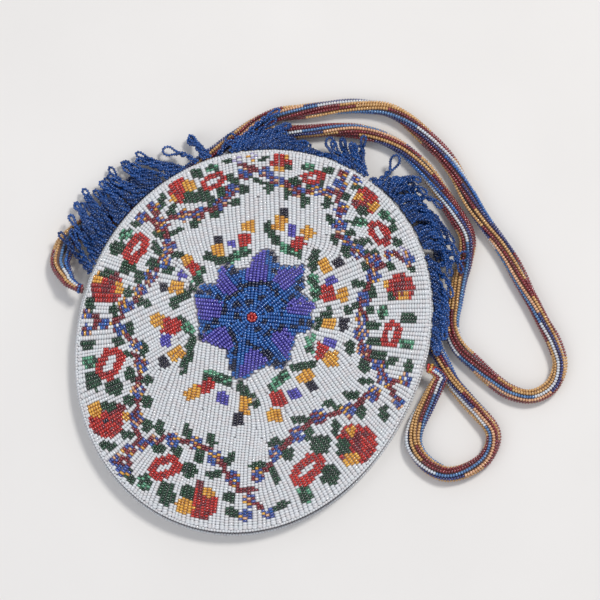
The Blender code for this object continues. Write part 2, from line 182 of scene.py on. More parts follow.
# The pattern of the front panel. A block or an oval is: middle, half sizes and tilt, with its
# colour before them where it has its own. Every sprig has blocks of the same colours in turn
SPRIG_COLOURS = ("dark_green", "gold", "black", "two_greens", "red", "gold", "purple")
SPRIGS = (
    (
        # top
        (-18.5, 29.7, 6.2, 2.3, -18), (-17.6, 34.2, 2.9, 3.0, 8), (-16.8, 39.6, 2.2, 2.3, 8),
        (-6.8, 32.0, 6.2, 2.6, 26), (-4.2, 39.6, 3.0, 3.2, -6), (-2.0, 46.5, 2.7, 3.0, -6),
        (-10.2, 37.8, 2.0, 1.6, -6),
    ),
    (
        # upper right
        (9.8, 42.6, 6.9, 2.3, -60), (13.8, 48.2, 3.4, 4.2, -6), (16.0, 53.8, 2.7, 2.3, -6),
        (19.8, 34.0, 6.0, 2.6, -21), (23.0, 37.4, 3.7, 2.9, 39), (27.9, 43.2, 3.0, 2.8, 39),
        (20.2, 44.2, 2.0, 3.2, -6),
    ),
    (
        # right upper
        (30.8, 28.9, 6.1, 2.3, 77), (36.2, 26.3, 2.7, 3.1, 30), (42.9, 28.1, 2.5, 2.2, 39),
        (31.2, 15.5, 6.9, 2.6, -79), (38.0, 12.5, 3.8, 3.8, 5), (45.6, 11.5, 3.0, 3.4, -6),
        (39.6, 18.9, 2.7, 2.2, 15),
    ),
    (
        # right lower
        (35.5, -0.5, 6.5, 2.3, 49), (38.5, -3.0, 3.6, 2.8, -6), (45.8, -3.8, 2.5, 3.0, -6),
        (29.2, -12.9, 5.2, 2.6, 87), (35.2, -17.3, 3.0, 4.6, -6), (39.5, -21.1, 3.6, 3.9, -6),
        (38.5, -12.4, 3.2, 2.5, -6),
    ),
    (
        # bottom right
        (25.5, -24.6, 7.0, 2.3, 11), (26.7, -29.8, 3.6, 2.9, 39), (30.3, -34.3, 2.5, 2.9, 39),
        (13.5, -32.0, 6.8, 2.6, 45), (13.0, -41.0, 3.7, 3.8, 8), (11.5, -49.0, 3.6, 3.5, -6),
        (21.1, -38.1, 3.0, 2.7, 20),
    ),
    (
        # bottom
        (-2.0, -39.1, 8.3, 2.3, -51), (-4.0, -44.7, 3.2, 4.6, -6), (-6.2, -51.0, 2.5, 3.5, -6),
        (-16.8, -30.5, 8.4, 2.6, -15), (-22.2, -34.3, 4.1, 3.1, 39), (-29.4, -38.2, 3.9, 3.0, 35),
        (-14.5, -40.6, 2.3, 3.2, -6),
    ),
    (
        # left lower
        (-32.0, -18.8, 10.4, 2.3, 75), (-37.7, -18.7, 3.9, 2.9, 38), (-43.7, -22.8, 2.3, 2.7, 38),
        (-34.2, -3.8, 6.2, 2.6, -35), (-40.8, -4.3, 5.2, 3.9, -6), (-47.8, -1.3, 3.4, 3.5, -6),
        (-43.0, -11.4, 2.7, 3.0, -6),
    ),
    (
        # left upper
        (-34.8, 10.9, 7.9, 2.3, 40), (-37.8, 15.2, 3.9, 2.8, -6), (-44.2, 16.0, 2.0, 2.1, -6),
        (-26.8, 21.6, 4.9, 2.6, 74), (-30.1, 25.2, 3.0, 3.4, 39), (-33.0, 29.7, 2.6, 2.5, 39),
        (-35.5, 21.9, 2.2, 2.2, 20),
    ),
)
STAR = (
    (3.9, 33.8), (7.0, 34.8), (11.0, 33.3), (13.5, 25.5), (26.0, 26.4), (26.0, 15.7),
    (24.0, 11.9), (32.5, 6.1), (28.3, 1.2), (31.7, -3.0), (26.0, -8.1), (22.0, -7.6),
    (21.0, -11.9), (18.3, -22.1), (16.0, -25.9), (12.0, -25.9), (7.8, -23.6), (-4.2, -30.9),
    (-9.5, -30.4), (-12.0, -21.6), (-12.0, -16.2), (-23.3, -11.9), (-27.7, -11.0), (-26.2, -4.6),
    (-28.2, 7.1), (-28.6, 11.9), (-24.8, 17.3), (-17.6, 15.7), (-16.2, 26.5), (-12.8, 27.4),
    (-8.0, 25.0), (-5.7, 24.5), (-2.3, 25.5),
)
DIAMONDS = (
    ((-4.2, 18.3), (-0.5, 30.5), (3.5, 33.8), (7.2, 34.7), (7.2, 18.3)),
    ((10.0, 19.3), (12.5, 23.9), (26.0, 25.9), (25.0, 22.8), (16.5, 13.2)),
    ((17.0, 8.1), (24.5, 10.2), (32.5, 5.8), (26.5, 1.0), (17.5, 1.0)),
    ((8.8, -8.6), (16.0, -4.8), (21.0, -10.7), (17.5, -21.8), (14.5, -18.8)),
    ((-1.5, -15.2), (8.0, -18.3), (7.5, -22.8), (-6.0, -31.0), (-7.0, -28.9)),
    ((-14.5, -3.6), (-9.0, -13.2), (-11.0, -16.5), (-26.5, -11.7), (-24.0, -8.6)),
    ((-28.5, 9.6), (-24.5, 10.2), (-15.0, 7.6), (-16.0, 0.0), (-24.5, -1.3), (-26.5, 0.5)),
    ((-17.5, 15.2), (-16.0, 26.4), (-14.0, 24.9), (-7.5, 13.7), (-12.0, 10.7)),
)
SPOTS = (
    (-1.5, 7.6), (8.7, 4.1), (6.3, -1.5), (2.5, -6.1), (-7.5, 0.3), (-7.5, 6.6), (5.0, 10.2),
    (-26.2, 13.4), (-21.5, 12.4), (-16.7, 10.0), (-12.0, 10.0), (-22.5, -5.6), (-26.2, -9.5),
    (-18.5, -2.5), (-8.5, -17.8), (-8.5, -22.1), (-9.5, -25.4), (8.7, -20.2), (12.0, -23.1),
    (24.5, -2.5), (20.7, -4.6), (24.5, 18.8), (23.0, 14.8), (19.7, 10.0), (11.0, 23.6),
    (11.5, 29.4), (10.2, 32.8), (-9.5, 23.6), (-12.8, 26.4), (28.5, -2.5), (16.0, -23.4),
)
DARK_ROWS = (
    ((-5.5, 16.2), (5.5, 17.3)), ((9.0, 16.8), (13.0, 11.7)), ((15.5, 8.1), (16.0, 2.0)),
    ((7.5, -8.6), (15.0, -4.6)), ((-2.5, -13.2), (7.5, -17.8)), ((-10.5, -6.6), (-8.0, -15.2)),
    ((-13.5, 6.6), (-14.0, 2.0)), ((-11.0, 9.6), (-6.0, 14.7)),
)
# Each is: middle, half length and width, tilt, and the half sizes of its white slot
RING_FLOWERS = (
    (-19.5, 70.1, 6.2, 4.0, 30, 3.5, 1.2),
    (-58.5, 35.5, 8.0, 5.2, 55, 4.2, 1.3),
    (-71.0, -22.8, 8.4, 6.2, 60, 4.6, 2.2),
    (-43.0, -75.1, 8.2, 5.5, 20, 4.5, 1.4),
    (27.5, -76.2, 9.5, 5.8, 45, 5.0, 1.5),
    (69.5, -8.6, 7.0, 4.5, 70, 3.8, 1.2),
    (64.0, 43.2, 6.8, 4.7, 125, 3.5, 1.5),
    (30.5, 72.1, 6.0, 3.5, 12, 3.2, 1.0),
)
LEAVES = (
    ("dark_green", -28.2, 74.1, 3.2, 3.0), ("dark_green", -25.4, 63.2, 3.4, 4.0),
    ("two_greens", -20.5, 76.7, 3.0, 2.0), ("two_greens", -64.0, 42.6, 3.5, 3.0),
    ("dark_green", -68.0, 35.5, 4.0, 3.5), ("dark_green", -62.2, 25.9, 4.2, 3.5),
    ("two_greens", -81.0, -22.1, 3.5, 3.2), ("dark_green", -79.5, -31.5, 4.0, 5.0),
    ("dark_green", -68.8, -35.0, 4.2, 4.0), ("dark_green", -30.8, -76.2, 3.8, 4.0),
    ("two_greens", -53.0, -82.5, 3.5, 4.2), ("dark_green", -42.2, -88.1, 4.2, 5.8),
    ("dark_green", 34.0, -63.7, 5.0, 4.8), ("dark_green", 39.0, -78.7, 4.5, 5.0),
    ("two_greens", 26.5, -88.1, 4.0, 4.2), ("two_greens", 65.5, 3.3, 2.5, 3.8),
    ("dark_green", 78.2, -0.3, 3.8, 3.2), ("two_greens", 77.2, -13.5, 3.8, 3.2),
    ("two_greens", 66.8, 52.3, 2.8, 2.5), ("two_greens", 54.2, 49.0, 3.8, 2.8),
    ("dark_green", 70.8, 46.5, 1.8, 3.2), ("two_greens", 27.8, 77.4, 2.8, 2.2),
    ("dark_green", 21.2, 70.1, 2.8, 2.5), ("two_greens", 37.8, 75.4, 3.2, 1.8),
)
# Each is: middle and radius, and its blocks
ROSES = (
    (-36.0, 65.0, 6.5, (
        ("gold", -32.0, 67.5, 3.5, 2.8),
        ("gold", -40.0, 60.9, 1.8, 1.8),
        ("dark_green", -31.0, 61.4, 4.0, 3.0),
    )),
    (-73.0, 15.7, 8.5, (
        ("gold", -77.5, 20.3, 3.0, 3.0),
        ("dark_green", -73.0, 22.3, 3.5, 2.2),
        ("dark_red", -68.5, 20.3, 2.5, 2.5),
        ("gold", -66.5, 15.2, 2.2, 3.0),
        ("dark_red", -73.0, 14.7, 2.0, 2.0),
    )),
    (-72.5, -51.3, 9.0, (
        ("gold", -78.0, -46.2, 3.5, 4.0),
        ("dark_green", -71.2, -44.7, 3.8, 2.5),
        ("dark_red", -65.2, -45.2, 2.2, 2.0),
        ("gold", -62.8, -49.5, 1.8, 2.2),
        ("black", -72.5, -51.8, 1.5, 1.5),
    )),
    (-25.0, -92.4, 8.5, (
        ("dark_red", -25.5, -85.8, 1.5, 5.0),
        ("gold", -21.0, -87.6, 2.5, 2.8),
        ("dark_green", -31.5, -87.3, 3.5, 4.0),
        ("gold", -33.0, -94.2, 4.5, 4.2),
    )),
    (52.0, -63.5, 10.0, (
        ("gold", 49.2, -57.1, 2.5, 3.0),
        ("dark_red", 52.5, -62.4, 2.0, 5.5),
        ("dark_green", 45.5, -64.7, 3.5, 4.2),
        ("gold", 50.0, -70.8, 4.0, 3.2),
    )),
    (74.5, 15.2, 7.0, (
        ("gold", 67.5, 16.5, 1.5, 2.0),
        ("gold", 75.8, 10.7, 3.2, 2.5),
        ("dark_red", 75.0, 15.7, 1.5, 3.5),
        ("dark_green", 69.5, 10.7, 2.0, 2.0),
    )),
    (57.0, 59.4, 7.0, (
        ("gold", 61.0, 56.6, 3.0, 2.2),
        ("gold", 53.6, 61.6, 2.6, 1.7),
        ("dark_red", 51.6, 58.4, 1.6, 1.9),
        ("dark_green", 55.4, 54.8, 3.2, 2.3),
    )),
    (14.5, 79.7, 5.0, (
        ("gold", 17.0, 82.8, 2.0, 1.8),
        ("gold", 13.5, 76.2, 2.0, 1.5),
        ("dark_green", 18.0, 77.2, 2.0, 1.8),
    )),
)
# The garland: small flowers (middle and half width), stems and leaves (middle, half sizes, tilt)
CLUSTERS = (
    # right side, from the top down
    (52.8, 34.0, 4.0), (61.0, 29.0, 4.0), (60.5, 21.0, 4.0), (56.0, 9.5, 3.8), (54.5, 0.0, 3.8),
    (54.5, -8.0, 3.8), (56.0, -16.5, 4.0), (62.8, -24.0, 3.8), (66.0, -31.5, 4.0),
    (60.5, -38.0, 4.0), (79.0, 29.0, 3.4), (68.3, 32.0, 2.6), (76.5, -31.5, 3.4),
    (72.8, -42.3, 3.6),
    # bottom
    (48.0, -47.0, 4.2), (33.5, -49.5, 4.0), (22.5, -58.5, 4.2), (11.5, -68.5, 4.0),
    (3.0, -78.5, 3.8), (-1.0, -91.0, 3.8), (-9.7, -80.5, 4.2), (-18.5, -70.0, 4.0),
    (-28.0, -63.0, 4.0), (-39.0, -61.5, 3.8), (-49.5, -61.5, 2.8), (-54.0, -64.0, 3.2),
    (8.0, -98.0, 3.2), (-3.0, -99.0, 3.2), (-61.0, -66.5, 3.2), (-67.5, -71.0, 3.4),
    (-63.5, -76.5, 3.4),
    # left side, from the bottom up
    (-57.5, -50.8, 4.0), (-56.5, -37.0, 4.0), (-55.5, -23.3, 4.0), (-57.8, -13.8, 3.4),
    (-66.0, -5.5, 3.8), (-63.0, 6.5, 4.0), (-56.0, 14.0, 3.8), (-51.0, 21.0, 3.6),
    (-44.5, 28.5, 3.6), (-42.0, 36.5, 3.8), (-46.5, 48.0, 4.0), (-74.0, -2.5, 3.4),
    (-83.5, 1.8, 3.4), (-83.0, -6.5, 3.4), (-50.3, 56.5, 3.2), (-56.1, 51.0, 3.2),
    # top
    (-35.0, 51.8, 3.8), (-26.5, 53.3, 3.4), (-15.8, 58.5, 3.6), (-10.5, 65.5, 3.6),
    (-4.2, 74.0, 3.6), (6.8, 74.3, 3.6), (13.0, 70.0, 3.6), (22.5, 65.5, 3.8),
    (31.7, 65.2, 3.4), (39.0, 64.4, 3.4), (44.3, 68.0, 3.4), (45.0, 55.4, 3.6),
    (43.9, 47.0, 3.8), (48.0, 39.5, 3.2), (45.5, 74.5, 3.0), (52.5, 71.0, 3.0),
)
# Which beads of a small flower get a colour: their parity, the chances between, and the colour
CLUSTER_COLOURS = (
    (0, 0.0, 0.84, "garland_blue"), (0, 0.84, 1.0, "dark_red"), (1, 0.0, 0.20, "gold"),
    (1, 0.20, 0.38, "peach"), (1, 0.38, 0.64, "dark_red"), (1, 0.64, 0.76, "blue"),
    (1, 0.84, 1.0, "garland_blue"),
)
FADED_CLUSTERS = ((76.0, 33.8, 3.4), (-7.5, 81.2, 3.2), (0.5, 83.0, 3.0))
STEMS = (
    ((55.5, 32.0), (60.0, 30.7)), ((61.7, 25.0), (66.0, 26.7)), ((59.0, 17.5), (56.7, 12.7)),
    ((54.4, 6.5), (54.4, 3.0)), ((54.0, -2.5), (54.5, -5.0)), ((54.5, -10.5), (54.7, -14.0)),
    ((57.2, -19.5), (60.0, -22.0)), ((64.0, -26.0), (64.8, -28.5)),
    ((73.3, -31.4), (68.3, -33.5), (71.0, -40.4)), ((57.2, -39.3), (51.7, -44.5)),
    ((45.5, -47.5), (38.0, -49.0)), ((30.0, -51.5), (24.0, -57.0)), ((19.5, -61.0), (13.3, -67.3)),
    ((8.9, -74.0), (4.4, -78.5)), ((1.0, -91.5), (5.5, -96.0)),
    ((1.7, -86.0), (-6.0, -86.5), (-7.2, -83.5)), ((-12.0, -78.5), (-15.5, -71.7)),
    ((-21.0, -66.7), (-25.5, -65.0)), ((-30.5, -62.7), (-36.0, -62.0)),
    ((-42.8, -60.5), (-47.8, -62.2)), ((-55.5, -60.0), (-58.6, -54.3)),
    ((-56.0, -61.5), (-58.5, -63.5)), ((-66.5, -69.0), (-65.0, -69.8)),
    ((-61.5, -72.5), (-61.5, -70.8)), ((-56.7, -47.0), (-56.7, -40.5)),
    ((-56.7, -33.5), (-56.0, -27.0)), ((-56.0, -21.7), (-59.0, -18.5)),
    ((-61.0, -11.5), (-62.5, -9.5)), ((-69.5, -2.5), (-64.5, 2.0)), ((-60.5, 7.0), (-56.0, 11.5)),
    ((-52.5, 18.5), (-51.8, 17.0)), ((-47.2, 25.2), (-47.9, 24.2)), ((-43.0, 32.9), (-43.3, 31.6)),
    ((-42.8, 41.0), (-43.3, 47.0)), ((-79.5, 1.3), (-76.7, -1.0), (-79.5, -5.0)),
    ((-54.5, 51.0), (-50.5, 50.0)), ((-48.0, 53.0), (-48.3, 55.5)), ((-42.2, 50.3), (-39.0, 51.5)),
    ((-32.0, 53.2), (-29.0, 52.6)), ((-23.3, 54.8), (-18.3, 56.0)), ((-13.3, 60.5), (-12.6, 61.8)),
    ((-7.2, 79.0), (-4.0, 78.5)), ((-1.0, 77.0), (4.0, 75.2)), ((9.0, 71.5), (10.4, 71.5)),
    ((16.7, 68.8), (19.4, 67.6)), ((26.7, 64.5), (28.0, 64.5)), ((34.0, 64.3), (37.8, 63.8)),
    ((43.3, 65.0), (43.3, 59.0)), ((44.0, 52.5), (44.2, 51.2)), ((42.8, 42.5), (44.0, 41.2)),
    ((50.0, 37.5), (51.5, 36.0)), ((71.7, 33.0), (74.5, 30.0)),
)
STEM_HALF_WIDTH = 1.4
DARK_ROW_HALF_WIDTH = 1.3
SPOT_RADIUS = 1.75
CENTRE_RADIUS = 2.75
# Shares of beads that take a second colour
LIGHT_GREEN_SHARE = 0.42
DARK_ROW_SHARE = 0.8
ROSE_SHADOW_SHARE = 0.16
RING_SHADOW_SHARE = 0.25
FADED_GOLD_SHARE = 0.2
# How square a shape is: 2 makes an oval and more makes a block
SPRIG_POWER = 6.0
RING_POWER = 3.0
LEAF_POWER = 2.6
SLOT_POWER = 2.5
CLUSTER_POWER = 1.5
FADED_POWER = 1.35
LEAF_FULLNESS = 1.2
SMALL_LEAVES = (
    # right side
    (55.0, 38.8, 4.5, 1.5), (47.2, 34.0, 2.0, 2.8), (60.5, 33.1, 3.5, 1.2), (57.2, 26.0, 2.5, 1.8),
    (69.4, 26.2, 2.5, 1.8), (80.0, 25.3, 2.0, 1.5), (53.9, 17.0, 3.5, 1.8), (60.0, 13.3, 2.2, 3.0),
    (48.3, 3.7, 2.3, 1.8), (52.2, 6.0, 2.3, 1.8), (58.9, 3.7, 2.2, 2.2), (60.5, -4.0, 3.5, 1.6),
    (61.0, -12.0, 4.0, 1.8), (48.9, -15.0, 2.3, 2.8), (63.3, -19.0, 3.5, 1.8),
    (56.0, -24.0, 2.5, 3.0), (69.4, -22.3, 3.5, 1.6, 35), (78.6, -24.5, 2.2, 2.5),
    (57.2, -32.0, 4.0, 1.4), (49.3, -39.0, 3.5, 1.8), (38.0, -43.5, 2.3, 1.8),
    (43.5, -45.5, 2.2, 1.5), (54.5, -47.0, 2.3, 3.2), (65.8, -48.5, 2.0, 3.6),
    # bottom
    (22.2, -51.5, 2.2, 1.6), (26.5, -51.5, 2.2, 1.6), (28.3, -58.5, 2.2, 3.0),
    (12.0, -63.0, 3.3, 2.2), (18.3, -68.5, 2.6, 2.4), (41.7, -54.5, 1.8, 3.8),
    (3.0, -74.0, 3.4, 1.7), (11.4, -79.0, 1.8, 3.8, 20), (14.7, -94.0, 3.4, 1.8, 30),
    (-11.0, -90.0, 3.0, 2.2), (-9.4, -97.3, 3.0, 2.2, -20), (-18.3, -78.5, 3.4, 1.8),
    (-11.0, -71.3, 1.8, 3.6, -25), (-25.5, -69.6, 2.2, 3.4), (-19.7, -62.0, 1.9, 3.6),
    (-37.0, -67.0, 2.2, 2.8), (-32.2, -57.0, 1.8, 3.3), (-45.8, -55.4, 1.8, 3.6),
    (-46.0, -65.5, 2.6, 2.6), (-52.2, -54.3, 2.3, 2.8), (-61.7, -58.8, 3.0, 1.8),
    (-71.4, -64.0, 3.4, 1.7), (-60.5, -79.5, 1.7, 4.2, 20),
    # left side
    (-61.0, -41.4, 3.0, 2.2), (-52.0, -42.2, 2.4, 2.4), (-60.5, -28.5, 2.4, 3.0),
    (-52.2, -31.4, 3.0, 2.0), (-62.8, -18.3, 3.3, 1.6), (-54.4, -15.5, 2.1, 3.4),
    (-82.2, -13.3, 3.2, 2.3), (-67.2, -11.6, 3.0, 1.8), (-61.4, -6.0, 2.0, 4.3),
    (-68.9, 3.7, 2.0, 2.8), (-81.4, 7.0, 2.3, 3.4), (-54.4, 7.6, 3.0, 1.9),
    (-62.2, 13.2, 2.4, 2.0), (-56.7, 20.5, 2.2, 3.0), (-42.2, 24.2, 3.0, 1.8),
    (-50.0, 27.6, 2.8, 2.3), (-38.0, 31.9, 3.0, 1.3), (-48.0, 35.5, 1.8, 3.8, 35),
    (-47.2, 42.4, 2.4, 1.8), (-38.9, 44.0, 3.8, 1.3, 25), (-58.9, 47.5, 2.4, 1.4),
    (-45.6, 59.3, 1.6, 3.4), (-40.6, 54.8, 1.8, 2.8), (-28.9, 48.0, 1.9, 2.6),
    # top
    (-21.0, 59.3, 2.3, 2.8), (-18.9, 53.7, 2.8, 2.3), (-15.6, 65.5, 1.7, 1.8),
    (-15.0, 62.7, 1.9, 2.3), (-8.9, 58.8, 2.6, 1.8), (-10.8, 71.5, 2.3, 1.7),
    (-8.3, 69.5, 2.2, 1.7), (-4.4, 66.0, 2.2, 2.1), (-12.8, 80.2, 1.9, 1.2),
    (5.5, 81.3, 3.3, 0.9, 25), (2.5, 70.5, 3.6, 1.2, -25), (8.0, 66.7, 1.7, 2.8),
    (17.2, 64.5, 1.9, 3.3), (26.1, 60.0, 1.7, 3.2), (28.3, 67.2, 1.7, 1.4),
    (37.8, 58.8, 2.0, 3.4, -20), (35.0, 69.0, 1.4, 2.3), (47.2, 62.2, 1.9, 1.7),
    (38.9, 50.3, 1.6, 2.8, 40), (47.8, 49.2, 2.0, 1.1), (48.9, 43.0, 2.8, 1.8),
    (41.4, 40.2, 1.6, 2.8), (72.8, 38.5, 2.3, 1.8), (52.2, 66.7, 2.4, 0.9),
)

# How the ribs of beads lie round the star: a place, and the direction of the ribs there
RIB_LIE = (
    # top field
    (-5, 60, 92), (-12, 42, 97), (-25, 50, 101), (-36, 42, 104), (-22, 23, 103), (5, 40, 92),
    (10, 55, 92), (20, 30, 88), (28, 55, 90), (36, 45, 87), (44, 37, 76), (-32, 33, 108),
    # outer ring, from the left over the top to the right
    (-72, 32, 160), (-62, 20, 160), (-42, 22, 168), (-62, 45, 142), (-45, 62, 125), (-30, 70, 112),
    (-8, 80, 97), (15, 80, 90), (30, 75, 80), (48, 70, 62), (62, 58, 48), (72, 40, 30),
    (82, 33, 20), (85, 20, 3), (85, 0, 0),
    # right field
    (47, 27, 25), (45, 20, 22), (48, 13, 20), (50, 8, 20), (42, 4, 12), (62, 5, 4), (40, -7, -10),
    (45, -10, -25), (50, -15, -42), (62, -9, -2), (66, -22, -5), (85, -15, -5), (76, -26, -8),
    (68, -29, -12), (29, 17, 35), (35, 26, 30),
    # lower right field
    (48, -25, -54), (40, -30, -53), (35, -36, -55), (25, -41, -57), (20, -50, -63), (57, -33, -38),
    (60, -48, -47), (70, -46, -45), (72, -40, -35), (23, -15, -70), (45, -72, -52), (30, -85, -62),
    (20, -64, -45), (15, -80, -63), (25, -97, -72), (10, -34, -60), (12, -48, -80),
    # bottom
    (0, -65, -96), (0, -82, -92), (-15, -60, -98), (-15, -85, -98), (0, -104, -90), (10, -90, -72),
    # lower left field
    (-20, -22, -95), (-30, -30, -98), (-15, -45, -98), (-35, -48, -102), (-47, -33, -109),
    (-45, -48, -106), (-52, -57, -135), (-70, -62, -142), (-78, -55, -148), (-58, -70, -130),
    (-52, -75, -125), (-60, -85, -122), (-50, -92, -110), (-40, -97, -102), (-25, -104, -95),
    # left field
    (-50, 12, -156), (-35, 7, -155), (-60, 3, -154), (-55, -5, -152), (-45, -14, -149),
    (-52, -22, -149), (-62, -30, -160), (-78, 5, 178), (-80, -10, -176), (-82, -22, -170),
    (-75, -38, -157), (-82, -45, -154), (-88, -5, 180),
)
# The same places, with that direction as a step along x and y
RIB_WAYS = np.array([(x, y, math.cos(math.radians(a)), math.sin(math.radians(a))) for x, y, a in RIB_LIE])
# Tracing of those ribs, in mm
TRACE_STEP = 0.35
STAR_CLEARANCE = 1.25
OUTER_RING_START = 52.0
OUTER_RING_FADE = 16.0
# The fewest points of a rib, and how near ribs and new seeds may come, in shares of the spacing
SHORTEST_TRACE = 5
RIB_CLOSEST = 0.67
RIB_SEED_CLOSEST = 0.81

# The strap's route in shares of the panel's radius, and its rise in strap diameters
STRAP_SPACING = 11.5 * MM
STRING_SPACING = 2.0 * MM
FINE_STEPS = 12
STRAP_ROUTE = (
    (1.015, -0.342, 0.67), (0.983, -0.407, 0.43), (0.939, -0.483, 0.13), (0.896, -0.575, 0.0),
    (0.879, -0.668, 0.0), (0.928, -0.771, 0.0), (1.042, -0.841, 0.0), (1.178, -0.814, 0.0),
    (1.281, -0.733, 0.0), (1.308, -0.635, 0.0), (1.260, -0.543, 0.0), (1.162, -0.423, 0.0),
    (1.059, -0.288, 0.0), (0.999, -0.163, 0.0), (0.912, -0.022, 0.0), (0.825, 0.152, 0.0),
    (0.755, 0.337, 0.0), (0.651, 0.505, 0.0), (0.521, 0.635, 0.0), (0.369, 0.717, 0.0),
    (0.217, 0.755, 0.0), (0.087, 0.771, 0.0), (-0.005, 0.825, 0.0), (-0.043, 0.912, 0.0),
    (-0.005, 0.999, 0.0), (0.098, 1.048, 0.0), (0.239, 1.064, 0.0), (0.380, 1.069, 0.0),
    (0.532, 1.075, 0.0), (0.684, 1.042, 0.0), (0.847, 0.950, 0.0), (0.993, 0.787, 0.0),
    (1.118, 0.597, 0.0), (1.178, 0.456, 0.0), (1.167, 0.337, 0.0), (1.129, 0.195, 0.0),
    (1.102, 0.054, 0.0), (1.091, -0.060, 0.0), (1.140, -0.168, 0.0), (1.238, -0.261, 0.0),
    (1.357, -0.358, 0.0), (1.471, -0.418, 0.0), (1.585, -0.402, 0.0), (1.667, -0.315, 0.0),
    (1.667, -0.190, 0.0), (1.618, -0.071, 0.0), (1.547, 0.081, 0.0), (1.471, 0.223, 0.0),
    (1.374, 0.407, 0.0), (1.260, 0.575, 0.0), (1.183, 0.717, 0.0), (1.091, 0.879, 0.0),
    (0.955, 1.042, 0.0), (0.825, 1.151, 0.0), (0.695, 1.200, 0.0), (0.445, 1.200, 0.0),
    (0.217, 1.173, 0.0), (0.054, 1.129, 0.0), (-0.092, 1.031, 0.0), (-0.261, 0.907, 0.0),
    (-0.429, 0.782, 0.0), (-0.586, 0.673, 0.0), (-0.727, 0.592, 0.0), (-0.863, 0.548, 0.0),
    (-0.972, 0.499, 0.0), (-1.048, 0.423, 0.0), (-1.075, 0.337, 0.13), (-1.059, 0.271, 0.40),
    (-1.015, 0.223, 0.67),
)
CORE_RADIUS = 2.35 * MM
STRING_BEAD = 1.88 * MM
STRING_PITCH = 1.42 * MM
STRING_BEAD_SHARE = 0.94
STRING_TURN = 0.23
STRING_BLOCK = 0.044
# How far the strings lie beside and over the strap's middle, in mm
STRING_ASIDE = 2.99
STRING_ABOVE = 2.82
# The stretch near the left end where the strings spread and shift, in mm from that end
SPREAD_MIDDLE = 27.0
SPREAD_REACH = 13.0
SPREAD_WIDER = 1.6
SPREAD_SHIFT = 2.0
# How often and how far single strings hang loose, in mm
LOOSE_FROM = 0.72
LOOSE_REACH = 3.6
# The two colours of each string, which take turns block by block
STRING_COLOURS = (
    ("tan", "dark_red"), ("dark_red", "tan"), ("pale", "sky"), ("blue", "midnight"),
    ("midnight", "dark_red"), ("tan", "dark_red"), ("dark_red", "tan"), ("peach", "midnight"),
    ("sky", "pale"), ("dark_red", "tan"),
)
# How far the strings draw in towards the strap's ends: distances from an end, and shares
ENDS_DRAWN = ((0.0, 4.0 * MM, 11.0 * MM, 18.0 * MM), (0.25, 0.5, 0.9, 1.0))
# Directions of the strap's ends, and the rings of beads of each knot: back from the seam, radius
RIGHT_END = -16.0
LEFT_END = 170.0
END_STEP = 0.4 * MM
KNOT_ROWS = ((3.6 * MM, 1.5 * MM), (2.4 * MM, 2.0 * MM), (1.2 * MM, 1.7 * MM))
KNOT_BEADS = 8
KNOT_BEAD_LENGTH = 1.45 * MM
KNOT_BEAD_DIAMETER = 1.6 * MM
# The radius of an end's cotton in mm: shares of the way from the strap to the seam, and radii
END_TAPER = ((0.0, 0.35, 0.7, 1.0), (2.6, 2.2, 1.4, 0.9))
END_CORE_SHARE = 0.85

# Tufts of the fringe. Each is: its first and last root, its number of loops, the heading at the
# root and how far it turns by the tip for the first loop and for the last, their lengths, and how
# far from the rim they may reach
FRINGE_TUFTS = (
    # left
    (165.0, 160.5, 3, 122.0, -6.0, 119.0, -6.0, 25.0, 26.0, 40.0),
    (159.5, 146.0, 9, 118.0, -4.0, 124.0, -6.0, 28.0, 25.0, 40.0),
    (145.0, 137.5, 6, 124.0, -8.0, 134.0, -4.0, 23.0, 21.0, 40.0),
    (136.5, 122.5, 9, 146.0, -10.0, 148.0, -8.0, 23.0, 21.0, 40.0),
    (121.0, 114.0, 5, 150.0, 6.0, 156.0, 14.0, 20.0, 25.0, 40.0),
    (109.3, 109.3, 1, 128.0, 26.0, 128.0, 26.0, 18.0, 18.0, 40.0),
    (107.5, 104.0, 3, 118.0, 20.0, 122.0, 24.0, 17.0, 15.0, 40.0),
    (101.6, 101.6, 1, 66.0, -12.0, 66.0, -12.0, 14.5, 14.5, 40.0),
    # top
    (98.0, 94.5, 4, 44.0, -16.0, 36.0, -12.0, 31.0, 29.0, 40.0),
    (93.5, 84.0, 7, 22.0, -18.0, 8.0, -14.0, 25.0, 22.0, 8.0),
    (82.5, 66.0, 11, 160.0, 16.0, 150.0, 22.0, 24.0, 28.0, 8.5),
    (64.0, 64.0, 1, 92.0, 8.0, 92.0, 8.0, 12.0, 12.0, 40.0),
    (61.5, 58.5, 3, 160.0, 10.0, 150.0, 10.0, 14.0, 12.0, 5.0),
    (58.0, 55.8, 3, 122.0, -14.0, 112.0, -6.0, 17.0, 16.0, 40.0),
    (54.6, 52.2, 3, 108.0, -8.0, 98.0, -4.0, 18.0, 18.5, 40.0),
    (51.7, 51.7, 1, 96.0, -4.0, 96.0, -4.0, 17.0, 17.0, 40.0),
    (51.0, 46.5, 4, -12.0, -14.0, -18.0, -14.0, 13.0, 12.0, 4.5),
    (48.0, 48.0, 1, 26.0, 44.0, 26.0, 44.0, 18.0, 18.0, 40.0),
    (46.5, 41.5, 6, 60.0, -62.0, 48.0, -96.0, 19.0, 26.0, 18.5),
    # right
    (41.5, 31.0, 8, 40.0, -118.0, 24.0, -104.0, 29.0, 27.0, 18.5),
    (30.0, 22.0, 6, 22.0, -104.0, 8.0, -92.0, 27.0, 25.0, 15.0),
    (21.0, 4.0, 9, -42.0, -52.0, -58.0, -36.0, 22.0, 19.0, 9.0),
    (3.0, -7.0, 6, -58.0, -36.0, -74.0, -24.0, 18.0, 9.0, 7.5),
    (17.3, 17.3, 1, 8.0, 56.0, 8.0, 56.0, 19.5, 19.5, 40.0),
)
